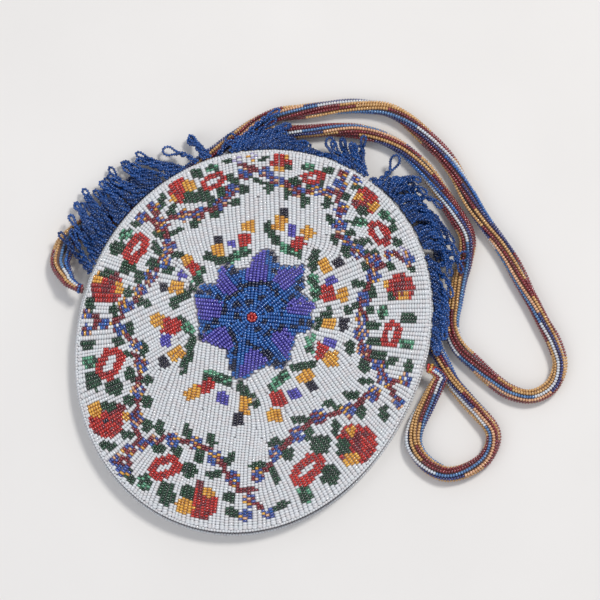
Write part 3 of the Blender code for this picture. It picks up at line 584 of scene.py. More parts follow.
# Where the right and the top part of the fringe end, and the first and last loop of the solids
# that each part stands for
RIGHT_FRINGE_END = 48.0
TOP_FRINGE_END = 103.0
FRINGE_NODES = {"right": (1, 12), "top": (13, 23), "left": (24, 36)}
LOOP_POINTS = 100
# A tuft of so many loops has a shorter row of them below
FEWEST_WITH_LOWER = 6
LOWER_LOOP = 0.6
PANEL_CLEARANCE = 1.7 * MM
STRAP_CLEARANCE = 0.6 * MM
UPPER_LOOP_RISE = 1.3 * MM
LOOP_RISE_RANGE = 2.4 * MM
FALL_START = 2.0 * MM
FALL_END = 15.0 * MM
# How unruly the loops are: their heading and turn in degrees, their length, and the right's more
HEADING_SHAKE = 7.0
FINE_HEADING_SHAKE = 5.0
TURN_SHAKE = 10.0
LENGTH_SHAKE = 0.10
RIGHT_UNRULY = 1.5
WIDE_EYE = 1.5 * MM
NARROW_EYE = 0.45 * MM
STRAND_BEAD = 1.85 * MM
STRAND_PITCH = 1.36 * MM
STRAND_TWIST = 8.2 * MM
STRAND_SPREAD = 0.43
OWN_TONE_SHARE = 0.45

# The table, the light and the camera. A lamp is: place, size, power and colour
TABLE_HALF = 3.0
TABLE_HEIGHT = -0.2 * MM
TABLE_PAINT = ((0.79, 0.775, 0.75), (0.825, 0.81, 0.785))
SKY = (0.93, 0.94, 1.0, 1.0)
SKY_STRENGTH = 0.52
LAMPS = {
    "key": ((0.95, 1.00, 2.10), 0.50, 33.5, (1.0, 0.975, 0.94)),
    "fill": ((-0.7, -0.5, 0.9), 0.9, 3.0, (0.9, 0.94, 1.0)),
}
LAMP_AIM = (0.02, 0.0, 0.0)
CAMERA_AIM = (0.024, 0.0086, 0.0147)
CAMERA_DISTANCE = 1.2
CAMERA_TILT = 10.0
CAMERA_LENS = 144.0
CAMERA_SENSOR = 36.0


def smoothstep(low, high, value):
    share = np.clip((value - low) / (high - low), 0.0, 1.0)
    return share * share * (3.0 - 2.0 * share)


def unit(vectors):
    return vectors / np.linalg.norm(vectors, axis=-1, keepdims=True)


def hashed(*numbers):
    """A fixed pseudo-random number from 0 to 1 for each place in these arrays."""
    total = 0.0
    for index, number in enumerate(numbers):
        total = total + np.asarray(number, float) * (12.9898 + 65.2327 * index)
    return np.modf(np.abs(np.sin(total + 1.37) * 43758.5453))[0]


def rim_radius(angle):
    return (
        PANEL_RADIUS
        + STAR_OFF_CENTRE * np.cos(angle - math.radians(STAR_OFF_CENTRE_DIRECTION))
        + OVAL * np.cos(2 * (angle - math.radians(OVAL_DIRECTION)))
        + EGG * np.cos(3 * (angle - math.radians(EGG_DIRECTION)))
    )


def from_rim(x, y, wider=0.0):
    """Direction of a place, its share of the way to the rim, and its distance from the rim."""
    angle = np.arctan2(y, x)
    reach = rim_radius(angle) + wider
    away = np.hypot(x, y)
    return angle, away / reach, reach - away


def fringed_share(angle):
    """1 along the fringed half of the rim and 0 at the mouth."""
    middle = math.radians((FRINGE_START + FRINGE_END) / 2)
    away = np.degrees(np.abs((angle - middle + math.pi) % (2 * math.pi) - math.pi))
    sewn = (FRINGE_END - FRINGE_START) / 2
    return 1.0 - smoothstep(sewn, sewn + MOUTH_RAMP, away)


def lift(share, angle):
    """Height of the back panel's underside over the table, where it lies on the hidden strap."""
    ramp = np.clip((share - RAMP_START) / (RAMP_END - RAMP_START), 0.0, 1.0)
    ramp = ramp * RAMP_STRAIGHT + smoothstep(0.0, 1.0, ramp) * (1.0 - RAMP_STRAIGHT)
    return (STRAP_DIAMETER + ROOM_OVER_STRAP) * ramp * fringed_share(angle)


def front_inside(share, angle):
    """Height of the front panel's inner face."""
    fringed = fringed_share(angle)
    middle = BEAD_CLOTH + STRAP_DIAMETER + ROOM_OVER_STRAP + SEAM_GAP + POCKET_CROWN
    rim_lift = (STRAP_DIAMETER + ROOM_OVER_STRAP) * fringed
    rim = BEAD_CLOTH + rim_lift + SEAM_GAP + MOUTH_GAP * (1.0 - fringed)
    return rim + (middle - rim) * (1.0 - share * share)


def sag(x, y):
    """The small hollows and rises of hand-made bead cloth."""
    wave = np.sin(x / 0.021 + 0.7) * np.cos(y / 0.026 - 0.4)
    fine = np.sin((x + 0.6 * y) / 0.0095) * np.cos((y - 0.4 * x) / 0.011)
    return SAG_HEIGHT * wave + FINE_SAG_HEIGHT * fine


def front_top(x, y):
    """Height of the front panel's outer face."""
    angle, share, edge = from_rim(x, y)
    rounded = FRONT_ROUNDING * (1.0 - smoothstep(0.0, ROUNDED_EDGE, edge)) ** 2
    hollow = (sag(x, y) - SETTLING) * smoothstep(0.0, CALM_BORDER, edge)
    return front_inside(share, angle) + BEAD_CLOTH + hollow - rounded


def back_under(x, y):
    """Height of the back panel's outer face, which is its underside."""
    angle, share, edge = from_rim(x, y, BACK_PANEL_WIDER)
    return lift(share, angle) + BACK_ROUNDING * (1.0 - smoothstep(0.0, ROUNDED_EDGE, edge)) ** 2


def placed(name, data):
    """A new object in the scene, of this mesh, curve, lamp or camera."""
    made = bpy.data.objects.new(name, data)
    bpy.context.scene.collection.objects.link(made)
    return made


def on_root(piece):
    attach(piece, "root")
    return piece


def made_mesh(name, points, faces, smooth=True):
    """A mesh object from an array of points and one of faces with the same number of corners."""
    data = bpy.data.meshes.new(name)
    faces = np.asarray(faces, np.int32)
    corners = faces.shape[1]
    data.vertices.add(len(points))
    data.vertices.foreach_set("co", np.asarray(points, np.float32).ravel())
    data.loops.add(faces.size)
    data.loops.foreach_set("vertex_index", faces.ravel())
    data.polygons.add(len(faces))
    data.polygons.foreach_set("loop_start", np.arange(len(faces), dtype=np.int32) * corners)
    data.update(calc_edges=True)
    data.validate()
    if smooth:
        data.shade_smooth()
    return placed(name, data)


def bead_shape(sides, rings, arc=360.0):
    """One bead along +x, 1 long and 1 across, as (points, faces). Part of a turn leaves its foot open."""
    columns = sides if arc >= 360.0 else sides + 1
    points = []
    for along, radius in rings:
        for turn in np.radians(np.linspace(-arc / 2, arc / 2, sides + 1)[:columns]):
            points.append((along, radius * math.sin(turn) / 2, radius * math.cos(turn) / 2))
    faces = []
    for ring in range(len(rings) - 1):
        for side in range(sides):
            a = ring * columns + side
            b = ring * columns + (side + 1) % columns
            faces.append((a, a + columns, b + columns, b))
    return np.array(points), np.array(faces)


def beads(name, shape, middles, along, up, lengths, widths, colour, strand_tones=None):
    """One object of many beads. Each has its own tone, which its glass reads."""
    count = len(middles)
    across = unit(np.cross(up, along))
    up = np.cross(along, across)
    lengths = np.broadcast_to(lengths, count)
    widths = np.broadcast_to(widths, count)
    points, faces = shape
    corners = (
        middles[:, None, :]
        + points[None, :, 0:1] * lengths[:, None, None] * along[:, None, :]
        + points[None, :, 1:2] * widths[:, None, None] * across[:, None, :]
        + points[None, :, 2:3] * widths[:, None, None] * up[:, None, :]
    )
    shifts = np.arange(count)[:, None, None] * len(points)
    made = made_mesh(name, corners.reshape(-1, 3), (faces[None] + shifts).reshape(-1, 4))
    tones = hashed(middles[:, 0] * 1e4, middles[:, 1] * 1e4, middles[:, 2] * 1e4)
    if strand_tones is not None:
        tones = OWN_TONE_SHARE * tones + (1.0 - OWN_TONE_SHARE) * strand_tones
    tone = made.data.attributes.new("tone", "FLOAT", "POINT")
    tone.data.foreach_set("value", np.repeat(tones, len(points)).astype(np.float32))
    made.data.materials.append(glass(colour))
    return made


class Surface:
    """A material in the making. A node's input is set to a number or colour, or linked to an output."""

    def __init__(self, name):
        self.made = bpy.data.materials.new(name)
        self.made.use_nodes = True
        self.shader = self.made.node_tree.nodes["Principled BSDF"]
        self.place = self.add("TexCoord").outputs["Object"]

    def fill(self, node, inputs):
        for name, value in inputs.items():
            if isinstance(value, bpy.types.NodeSocket):
                self.made.node_tree.links.new(value, node.inputs[name])
            else:
                node.inputs[name].default_value = value
        return node

    def add(self, kind, inputs=None, **settings):
        node = self.made.node_tree.nodes.new("ShaderNode" + kind)
        for name, value in settings.items():
            setattr(node, name, value)
        return self.fill(node, inputs or {})

    def noise(self, scale, detail):
        inputs = {"Vector": self.place, "Scale": scale, "Detail": detail}
        return self.add("TexNoise", inputs).outputs["Fac"]

    def ramp(self, value, *stops):
        """The colour at a value, from stops of position and colour, the two outer ones first."""
        node = self.add("ValToRGB", {"Fac": value})
        elements = node.color_ramp.elements
        for index, (position, colour) in enumerate(stops):
            stop = elements[index] if index < 2 else elements.new(position)
            stop.position = position
            stop.color = (*colour, 1.0)
        return node.outputs["Color"]

    def bump(self, height, strength, distance):
        node = self.add("Bump", {"Height": height, "Strength": strength, "Distance": distance})
        self.fill(self.shader, {"Normal": node.outputs["Normal"]})


@functools.cache
def glass(name):
    """Opaque bead glass: a clear gloss over a colour that changes a little from bead to bead."""
    light, deep, roughness = GLASS[name]
    surface = Surface("glass_" + name)
    tone = surface.add("Attribute", attribute_name="tone").outputs["Fac"]
    cloud = surface.noise(900.0, 3.0)
    share = surface.add("Math", {0: tone, 1: 0.6}, operation="MULTIPLY").outputs[0]
    blend = surface.add("Math", {0: cloud, 1: 0.45, 2: share}, operation="MULTIPLY_ADD").outputs[0]
    stops = [(0.15, deep), (0.75, light)]
    if name in ("white", "pale"):
        stops += [(0.35, WARM_WHITE), (0.55, COOL_WHITE)]
    worn = {"Value": cloud, "From Min": 0.35, "From Max": 0.75}
    worn.update({"To Min": roughness, "To Max": roughness + 0.12})
    surface.bump(cloud, 0.08, 0.2 * MM)
    of_fringe = name.startswith("fringe")
    finish = {
        "Base Color": surface.ramp(blend, *stops),
        "Roughness": surface.add("MapRange", worn).outputs["Result"],
        "IOR": 1.52 if of_fringe or name in ("white", "pale") else 1.78,
        "Coat Weight": 0.10 if of_fringe else 0.35,
        "Coat Roughness": 0.06,
    }
    surface.fill(surface.shader, finish)
    return surface.made


def cloth_material(name, colour, shade, shade_colour=None):
    """Plain cotton with a fine square weave, with painted shade under the star where a colour is given for
    that shade.
    """
    surface = Surface(name)
    threads = {"Vector": surface.place, "Scale": 620.0, "Distortion": 0.6, "Detail": 1.0}
    warp = surface.add("TexWave", threads, bands_direction="X").outputs["Fac"]
    weft = surface.add("TexWave", threads, bands_direction="Y").outputs["Fac"]
    weave = surface.add("Math", {0: warp, 1: weft}, operation="MULTIPLY").outputs[0]
    slubs = {0: weave, 1: 0.5, 2: surface.noise(70.0, 4.0)}
    mixed = surface.add("Math", slubs, operation="MULTIPLY_ADD").outputs[0]
    cotton_colour_and_shade = surface.ramp(mixed, (0.3, shade), (0.85, colour))
    # Painted shade: darker towards the star's middle, for the gaps between its beads
    if shade_colour:
        away = surface.add("VectorMath", {0: surface.place}, operation="LENGTH").outputs["Value"]
        fade = {"Value": away, "From Min": STAR_SHADE_END, "From Max": STAR_SHADE_START}
        shade_share = surface.add("MapRange", fade).outputs["Result"]
        colours = {"Factor": shade_share, 6: cotton_colour_and_shade, 7: (*shade_colour, 1.0)}
        cotton_colour_and_shade = surface.add("Mix", colours, data_type="RGBA").outputs[2]
    surface.bump(weave, 0.5, 0.3 * MM)
    surface.fill(surface.shader, {"Base Color": cotton_colour_and_shade, "Roughness": 0.85, "Sheen Weight": 0.2})
    return surface.made


def bead_rows(*columns):
    """Rows of a layout: x, y, rib direction, length, rib number and bead number of each bead."""
    return np.column_stack(np.broadcast_arrays(*columns))


def turned(along, aside, axis):
    """The place this far along an axis through the middle and this far beside it."""
    x = along * math.cos(axis) - aside * math.sin(axis)
    return x, along * math.sin(axis) + aside * math.cos(axis)


def rib_layout(wider, spacing, rib_pitch):
    """The beads of wedges of ribs round a small flower of beads, as rows of a layout."""
    half = math.pi / WEDGES
    count = int(PANEL_RADIUS * 1.2 * math.sin(half) / spacing) + 2
    found = []
    for wedge in range(WEDGES):
        axis = math.radians(FIRST_WEDGE_DIRECTION) + 2 * half * wedge
        for rib in range(-count, count):
            offset = (rib + 0.5) * spacing
            start = abs(offset) / math.tan(half) - RIB_OVERLAP
            start = max(start, math.sqrt(max(0.0, CENTRE_FLOWER**2 - offset**2)))
            steps = np.linspace(start, PANEL_RADIUS * 1.3, RIB_SAMPLES)
            x, y = turned(steps, offset, axis)
            room = rim_radius(np.arctan2(y, x)) + wider - RIM_MARGIN - np.hypot(x, y)
            if room[0] < rib_pitch / 2:
                continue
            end = steps[np.argmax(room < 0)]
            beads_here = max(1, round((end - start) / rib_pitch))
            pitch = (end - start) / beads_here
            number = np.arange(beads_here)
            s = start + (number + 0.5) * pitch
            sway = RIB_SWAY * np.sin(s / RIB_WAVE + 0.3 * rib) * np.minimum(1.0, number / RIB_WAVE_FADE)
            side = offset + sway + RIB_SHAKE * (hashed(number, rib + 40 * wedge) - 0.5)
            x, y = turned(s, side, axis)
            found.append(bead_rows(x, y, axis, pitch, rib + 100 * wedge, number))
    found.append(bead_rows(0.0, 0.0, 0.0, rib_pitch, -1.0, 0.0))
    number = np.arange(FLOWER_BEADS)
    turns = number * 2 * math.pi / FLOWER_BEADS
    x, y = FLOWER_RING * np.cos(turns), FLOWER_RING * np.sin(turns)
    length = 2 * math.pi * FLOWER_RING / FLOWER_BEADS
    found.append(bead_rows(x, y, turns + math.pi / 2, length, -2.0, number))
    return np.concatenate(found)


def rib_way(x, y):
    """Direction of the ribs at a place, both in mm, weighed from the nearest places read."""
    weights = ((RIB_WAYS[:, 0] - x) ** 2 + (RIB_WAYS[:, 1] - y) ** 2 + 6.0) ** -2.2
    way_x = float(weights @ RIB_WAYS[:, 2])
    way_y = float(weights @ RIB_WAYS[:, 3])
    length = math.hypot(way_x, way_y)
    return way_x / length, way_y / length


def traced_ribs(star_beads):
    """Lines of the ribs outside the star, in mm, laid side by side until the panel is full."""
    widest = RIB_SPACING / MM
    cell = widest * 1.05
    crowd = {}

    def spacing(x, y):
        ring = min(max((math.hypot(x, y) - OUTER_RING_START) / OUTER_RING_FADE, 0.0), 1.0)
        return widest * (1.0 - RING_CLOSER * ring)

    def remember(x, y, closest):
        crowd.setdefault((int(x // cell), int(y // cell)), []).append((x, y, closest))

    def free(x, y, share):
        column, row = int(x // cell), int(y // cell)
        for near_column in (column - 1, column, column + 1):
            for near_row in (row - 1, row, row + 1):
                for other_x, other_y, closest in crowd.get((near_column, near_row), ()):
                    if math.hypot(x - other_x, y - other_y) < closest * share:
                        return False
        return True

    def on_field(x, y):
        inside_rim = math.hypot(x, y) <= (rim_radius(math.atan2(y, x)) - RIM_MARGIN) / MM
        return inside_rim and not in_polygon(x, y, STAR)

    def trace(seed_x, seed_y):
        halves = []
        for sense in (-1, 1):
            x, y = seed_x, seed_y
            half = []
            while True:
                way_x, way_y = rib_way(x, y)
                x, y = x + sense * TRACE_STEP * way_x, y + sense * TRACE_STEP * way_y
                if not on_field(x, y) or not free(x, y, RIB_CLOSEST):
                    break
                half.append((x, y))
            halves.append(half)
        return halves[0][::-1] + [(seed_x, seed_y)] + halves[1]

    for x, y in star_beads:
        remember(x, y, STAR_CLEARANCE / RIB_CLOSEST)
    lines = []
    seeds = [(0.0, 50.0)] + [(x, y) for x, y, _ in RIB_LIE]
    spare = [(x, y) for x in range(-95, 96, 2) for y in range(-105, 96, 2)]
    while seeds or spare:
        seed = seeds.pop(0) if seeds else spare.pop(0)
        if not on_field(*seed) or not free(*seed, RIB_SEED_CLOSEST):
            continue
        line = trace(*seed)
        if len(line) < SHORTEST_TRACE:
            continue
        for x, y in line:
            remember(x, y, spacing(x, y))
        lines.append(np.array(line))
        for x, y in line[::3]:
            way_x, way_y = rib_way(x, y)
            aside = spacing(x, y)
            seeds.append((x - aside * way_y, y + aside * way_x))
            seeds.append((x + aside * way_y, y - aside * way_x))
    return lines


def settled(layout):
    """Beads of neighbouring ribs moved to share the room between them, and each one's room."""
    tree = kdtree.KDTree(len(layout))
    for index, row in enumerate(layout):
        tree.insert((row[0], row[1], 0.0), index)
    tree.balance()
    moved = layout.copy()
    room = np.full(len(layout), RIB_SPACING)
    for index, (x, y, axis, pitch, rib, _) in enumerate(layout):
        way_x, way_y = math.cos(axis), math.sin(axis)
        left = right = ROOM_ALONE * RIB_SPACING
        for place, other, _ in tree.find_range((x, y, 0.0), NEIGHBOURS_WITHIN * RIB_SPACING):
            ahead = (place[0] - x) * way_x + (place[1] - y) * way_y
            side = (place[1] - y) * way_x - (place[0] - x) * way_y
            if layout[other, 4] == rib or abs(ahead) > 0.8 * pitch:
                continue
            if side > 0.0:
                left = min(left, side)
            else:
                right = min(right, -side)
        shift = SETTLED_SHARE * (left - right)
        moved[index, 0] -= shift * way_y
        moved[index, 1] += shift * way_x
        room[index] = min(max(0.5 * (left + right), LEAST_ROOM * RIB_SPACING), MOST_ROOM * RIB_SPACING)
    return moved, room


def front_layout():
    """Every bead of the front panel: wedges of ribs in the star, and traced ribs round it."""
    layout = rib_layout(0.0, STAR_RIB_SPACING, STAR_RIB_PITCH)
    star = layout[in_polygon(layout[:, 0] / MM, layout[:, 1] / MM, STAR)]
    found = [star]
    for number, line in enumerate(traced_ribs(star[:, :2] / MM)):
        steps = np.hypot(*np.diff(line, axis=0).T) * MM
        run = np.concatenate(([0.0], np.cumsum(steps)))
        count = max(1, round((run[-1] + 0.3 * MM) / RIB_PITCH))
        wanted = (np.arange(count) + 0.5) * run[-1] / count
        x = np.interp(wanted, run, line[:, 0]) * MM
        y = np.interp(wanted, run, line[:, 1]) * MM
        ways = np.array([rib_way(a / MM, b / MM) for a, b in zip(x, y)])
        side = TRACED_RIB_SHAKE * (hashed(np.arange(count), number) - 0.5)
        x, y = x - side * ways[:, 1], y + side * ways[:, 0]
        axis = np.arctan2(ways[:, 1], ways[:, 0])
        length = max(run[-1] / count, 0.8 * RIB_PITCH)
        found.append(bead_rows(x, y, axis, length, 1000.0 + number, np.arange(count)))
    return settled(np.concatenate(found))


def panel_frames(layout, height, facing, width):
    """Middles, rib directions and outward directions of a panel's beads, on its outer face."""
    x, y, axis = layout[:, 0], layout[:, 1], layout[:, 2]
    step = 0.5 * MM
    way_x, way_y = np.cos(axis), np.sin(axis)

    def tangent(a, b):
        rise = height(x + step * a, y + step * b) - height(x - step * a, y - step * b)
        return unit(np.column_stack((a, b, rise / (2 * step))))

    along = tangent(way_x, way_y)
    up = np.cross(along, tangent(-way_y, way_x)) * facing
    surface = np.column_stack((x, y, height(x, y)))
    sunk = width / 2 + DEPTH_SHAKE * hashed(x * 3e4, y * 3e4)
    return surface - up * sunk[:, None], along, up


def in_shape(x, y, middle_x, middle_y, half_x, half_y, tilt=0.0, power=2.0):
    """Whether a place is in an oval, which a higher power squares up to a block."""
    turn = math.radians(tilt)
    u = (x - middle_x) * math.cos(turn) + (y - middle_y) * math.sin(turn)
    v = (y - middle_y) * math.cos(turn) - (x - middle_x) * math.sin(turn)
    return np.abs(u / half_x) ** power + np.abs(v / half_y) ** power <= 1.0


def in_polygon(x, y, corners):
    """Whether one place, or each of an array of them, is inside these corners."""
    inside = False
    for (ax, ay), (bx, by) in zip(corners, corners[1:] + corners[:1]):
        if ay != by:
            crossing = (ay > y) != (by > y)
            inside = inside ^ (crossing & (x < (bx - ax) * (y - ay) / (by - ay) + ax))
    return inside


def distance_to_line(x, y, line):
    """Distance of each place from a line through these points."""
    best = np.full(len(x), np.inf)
    for (ax, ay), (bx, by) in zip(line, line[1:]):
        way_x, way_y = bx - ax, by - ay
        share = ((x - ax) * way_x + (y - ay) * way_y) / (way_x * way_x + way_y * way_y)
        share = np.clip(share, 0.0, 1.0)
        best = np.minimum(best, np.hypot(x - ax - share * way_x, y - ay - share * way_y))
    return best


def front_colours(layout):
    """The colour number of every bead of the front panel, from the shapes of the pattern."""
    x, y = layout[:, 0] / MM, layout[:, 1] / MM
    checker = (layout[:, 4] + layout[:, 5]).astype(int) % 2
    chance = hashed(layout[:, 4], layout[:, 5])
    picked = np.zeros(len(x), int)

    def paint(where, colour):
        if colour == "two_greens":
            paint(where, "dark_green")
            paint(where & (chance < LIGHT_GREEN_SHARE), "light_green")
        else:
            picked[where] = COLOURS.index(colour)

    for middle_x, middle_y, half_x, half_y, *tilt in SMALL_LEAVES:
        sizes = half_x * LEAF_FULLNESS, half_y * LEAF_FULLNESS
        paint(in_shape(x, y, middle_x, middle_y, *sizes, *tilt), "dark_green")
    for line in STEMS:
        paint(distance_to_line(x, y, line) < STEM_HALF_WIDTH, "dark_red")
    for middle_x, middle_y, size in CLUSTERS:
        cluster = in_shape(x, y, middle_x, middle_y, size, size, 0.0, CLUSTER_POWER)
        for parity, low, high, colour in CLUSTER_COLOURS:
            paint(cluster & (checker == parity) & (chance >= low) & (chance < high), colour)
    for middle_x, middle_y, size in FADED_CLUSTERS:
        faded = in_shape(x, y, middle_x, middle_y, size, size, 0.0, FADED_POWER)
        paint(faded & (checker == 0), "lilac")
        paint(faded & (checker == 1) & (chance < FADED_GOLD_SHARE), "gold")
    for colour, *place in LEAVES:
        paint(in_shape(x, y, *place, power=LEAF_POWER), colour)
    for middle_x, middle_y, half, wide, tilt, inner, slot in RING_FLOWERS:
        paint(in_shape(x, y, middle_x, middle_y, half, wide, tilt, RING_POWER), "red")
        edge = in_shape(x, y, middle_x, middle_y, half * 0.72, wide * 0.66, tilt, SLOT_POWER)
        paint(edge & (chance < RING_SHADOW_SHARE), "dark_red")
        paint(in_shape(x, y, middle_x, middle_y, inner, slot, tilt, SLOT_POWER), "white")
    for middle_x, middle_y, radius, patches in ROSES:
        disc = in_shape(x, y, middle_x, middle_y, radius, radius)
        paint(disc, "red")
        paint(disc & (chance < ROSE_SHADOW_SHARE), "dark_red")
        for colour, *place in patches:
            paint(in_shape(x, y, *place, power=LEAF_POWER), colour)
    for sprig in SPRIGS:
        for colour, place in zip(SPRIG_COLOURS, sprig):
            paint(in_shape(x, y, *place, power=SPRIG_POWER), colour)
    paint(in_polygon(x, y, STAR), "blue")
    for corners in DIAMONDS:
        paint(in_polygon(x, y, corners), "purple")
    for row in DARK_ROWS:
        paint((distance_to_line(x, y, row) < DARK_ROW_HALF_WIDTH) & (chance < DARK_ROW_SHARE), "navy")
    for spot_x, spot_y in SPOTS:
        paint(np.hypot(x - spot_x, y - spot_y) < SPOT_RADIUS, "navy")
    paint(np.hypot(x, y) < CENTRE_RADIUS, "red")
    return picked


def panel_beads():
    """The beads of both panels, one object for each colour and two for the front's white."""
    layout, room = front_layout()
    wide = BEAD_FILL * room
    middles, along, up = panel_frames(layout, front_top, 1.0, np.clip(wide, SHALLOWEST_BEAD, DEEPEST_BEAD))
    picked = front_colours(layout)
    chance = hashed(layout[:, 0] * 1e5, layout[:, 1] * 1e5)
    wide = wide * (1.0 + WIDTH_SHAKE * (chance - 0.5))
    upper = layout[:, 1] > 0.0
    white = picked == 0
    groups = [("white_upper", "white", white & upper), ("white_lower", "white", white & ~upper)]
    groups += [(colour, colour, picked == number) for number, colour in enumerate(COLOURS) if number]
    for name, colour, chosen in groups:
        shape = bead_shape(*(WHITE_BEAD if colour == "white" else COLOURED_BEAD))
        places = middles[chosen], along[chosen], up[chosen]
        sizes = layout[chosen, 3] * BEAD_SHARE, wide[chosen]
        piece = beads("front_beads_" + name, shape, *places, *sizes, colour)
        on_root(piece)
        if name == "white_upper":
            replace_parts(piece, "front_panel")
    layout = rib_layout(BACK_PANEL_WIDER, BACK_RIB_SPACING, BACK_RIB_PITCH)
    places = panel_frames(layout, back_under, -1.0, BACK_BEAD_DIAMETER)
    sizes = layout[:, 3] * BEAD_SHARE, BACK_BEAD_DIAMETER
    back = beads("back_beads_white", bead_shape(*BACK_BEAD), *places, *sizes, "white")
    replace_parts(on_root(back), "back_panel")


def cloth_panel(name, inside, outside, wider, finish):
    """The closed cloth that the beads are sewn to, between two heights, up to just inside the rim."""
    spokes, rings = 180, 24
    angles = np.arange(spokes) * 2 * math.pi / spokes
    points = []
    for height in (outside, inside):
        for ring in range(1, rings + 1):
            reach = ring / rings * (rim_radius(angles) + wider - CLOTH_INSET)
            x, y = reach * np.cos(angles), reach * np.sin(angles)
            points.append(np.column_stack((x, y, height(x, y))))
        points.append(np.array([[0.0, 0.0, float(height(np.zeros(1), np.zeros(1))[0])]]))
    layer = spokes * rings + 1
    rim = (rings - 1) * spokes
    neighbours = [(spoke, (spoke + 1) % spokes) for spoke in range(spokes)]
    quads = []
    for ring in range(0, rim, spokes):
        quads += [(ring + a, ring + b, ring + b + spokes, ring + a + spokes) for a, b in neighbours]
    fans = [(a, b, layer - 1) for a, b in neighbours]
    faces = [quad[::-1] for quad in quads]
    faces += [tuple(layer + corner for corner in quad) for quad in quads]
    faces += [(rim + a, rim + b, layer + rim + b, layer + rim + a) for a, b in neighbours]
    faces += fans
    faces += [tuple(layer + corner for corner in fan[::-1]) for fan in fans]
    data = bpy.data.meshes.new(name)
    data.from_pydata(np.concatenate(points).tolist(), [], faces)
    data.validate()
    data.shade_smooth()
    data.materials.append(finish)
    return on_root(placed(name, data))


def panel_cloths():
    """The cloth of both panels, as closed sheets that the beads hold stretched."""

    def front_low(x, y):
        angle, share, _ = from_rim(x, y)
        return front_inside(share, angle)

    def front_high(x, y):
        return np.maximum(front_top(x, y) - BEADS_OVER_CLOTH, front_low(x, y) + CLOTH_THINNEST)

    def back_high(x, y):
        angle, share, _ = from_rim(x, y, BACK_PANEL_WIDER)
        return lift(share, angle) + BEAD_CLOTH

    def back_low(x, y):
        return np.minimum(back_under(x, y) + BEADS_OVER_CLOTH, back_high(x, y) - CLOTH_THINNEST)

    # The backing's grey is partly painted shade for the gaps between the ribs
    plain = cloth_material("backing_cotton_and_gap_shade", *BACKING_AND_GAP_SHADE)
    # The front's cotton has painted shade under the star
    star_shaded = cloth_material("front_cotton_star_shade", *BACKING_AND_GAP_SHADE, STAR_GAP_SHADE)
    front = cloth_panel("front_cloth", front_low, front_high, 0.0, star_shaded)
    back = cloth_panel("back_cloth", back_high, back_low, BACK_PANEL_WIDER, plain)


def edging():
    """A row of beads along the edge of each panel, on its thickness."""
    angles = np.linspace(0.0, 2 * math.pi, 2000)
    at_rim = np.ones(len(angles))
    for name, wider, height in (
        ("front_edging", 0.0, front_inside(at_rim, angles) + FRONT_EDGING_HEIGHT),
        ("back_edging", BACK_PANEL_WIDER, lift(at_rim, angles) + BACK_EDGING_HEIGHT),
    ):
        reach = rim_radius(angles) + (wider - EDGING_INSET)
        ring = np.column_stack((reach * np.cos(angles), reach * np.sin(angles), height))
        places, along, pitch, _ = along_line(ring, EDGING_PITCH)
        lying = places, along, all_up(places), pitch * BEAD_SHARE, EDGING_DIAMETER
        on_root(beads(name, bead_shape(*EDGING_BEAD), *lying, "white"))


def all_up(places):
    return np.tile((0.0, 0.0, 1.0), (len(places), 1))


def run_along(points):
    """How far along a line of points each of them is."""
    return np.concatenate(([0.0], np.cumsum(np.linalg.norm(np.diff(points, axis=0), axis=1))))


def sampled(points, run, wanted):
    """Places this far along a line of points."""
    return np.column_stack([np.interp(wanted, run, points[:, k]) for k in range(3)])


def along_line(points, spacing):
    """Places every so far along a line of points, its direction there, the pitch and their shares."""
    run = run_along(points)
    count = max(1, round(run[-1] / spacing))
    wanted = (np.arange(count) + 0.5) * run[-1] / count
    ahead = sampled(points, run, wanted + spacing * 0.4)
    behind = sampled(points, run, wanted - spacing * 0.4)
    return sampled(points, run, wanted), unit(ahead - behind), run[-1] / count, wanted / run[-1]


def line_frame(line):
    """Directions along, across and up from a line, at each of its points."""
    along = unit(np.gradient(line, axis=0))
    across = unit(np.cross(along, (0.0, 0.0, 1.0)))
    return along, across, np.cross(across, along)


def smooth_route(points, spacing):
    """Evenly spaced points on a smooth curve through the given ones."""
    fine = []
    padded = [2 * points[0] - points[1], *points, 2 * points[-1] - points[-2]]
    for a, b, c, d in zip(padded, padded[1:], padded[2:], padded[3:]):
        for step in range(FINE_STEPS):
            t = step / FINE_STEPS
            even = (2 * a - 5 * b + 4 * c - d) * t * t
            odd = (3 * b - 3 * c + d - a) * t * t * t
            fine.append(0.5 * (2 * b + (c - a) * t + even + odd))
    fine.append(points[-1])
    lengths = [0.0]
    for before, after in zip(fine, fine[1:]):
        lengths.append(lengths[-1] + (after - before).length)
    count = max(2, round(lengths[-1] / spacing))
    route = []
    at = 0
    for index in range(count + 1):
        wanted = lengths[-1] * index / count
        while at < len(fine) - 2 and lengths[at + 1] < wanted:
            at += 1
        share = (wanted - lengths[at]) / (lengths[at + 1] - lengths[at])
        route.append(fine[at].lerp(fine[at + 1], min(share, 1.0)))
    return route


def tube(name, points, radii, bevel_steps, finish):
    """A round cord of cotton along these points."""
    data = bpy.data.curves.new(name, "CURVE")
    data.dimensions = "3D"
    data.bevel_depth = 1.0
    data.bevel_resolution = bevel_steps
    data.use_fill_caps = True
    line = data.splines.new("POLY")
    line.points.add(len(points) - 1)
    for target, point, radius in zip(line.points, points, radii):
        target.co = (*point, 1.0)
        target.radius = float(radius)
    line.use_smooth = True
    data.materials.append(finish)
    return placed(name, data)


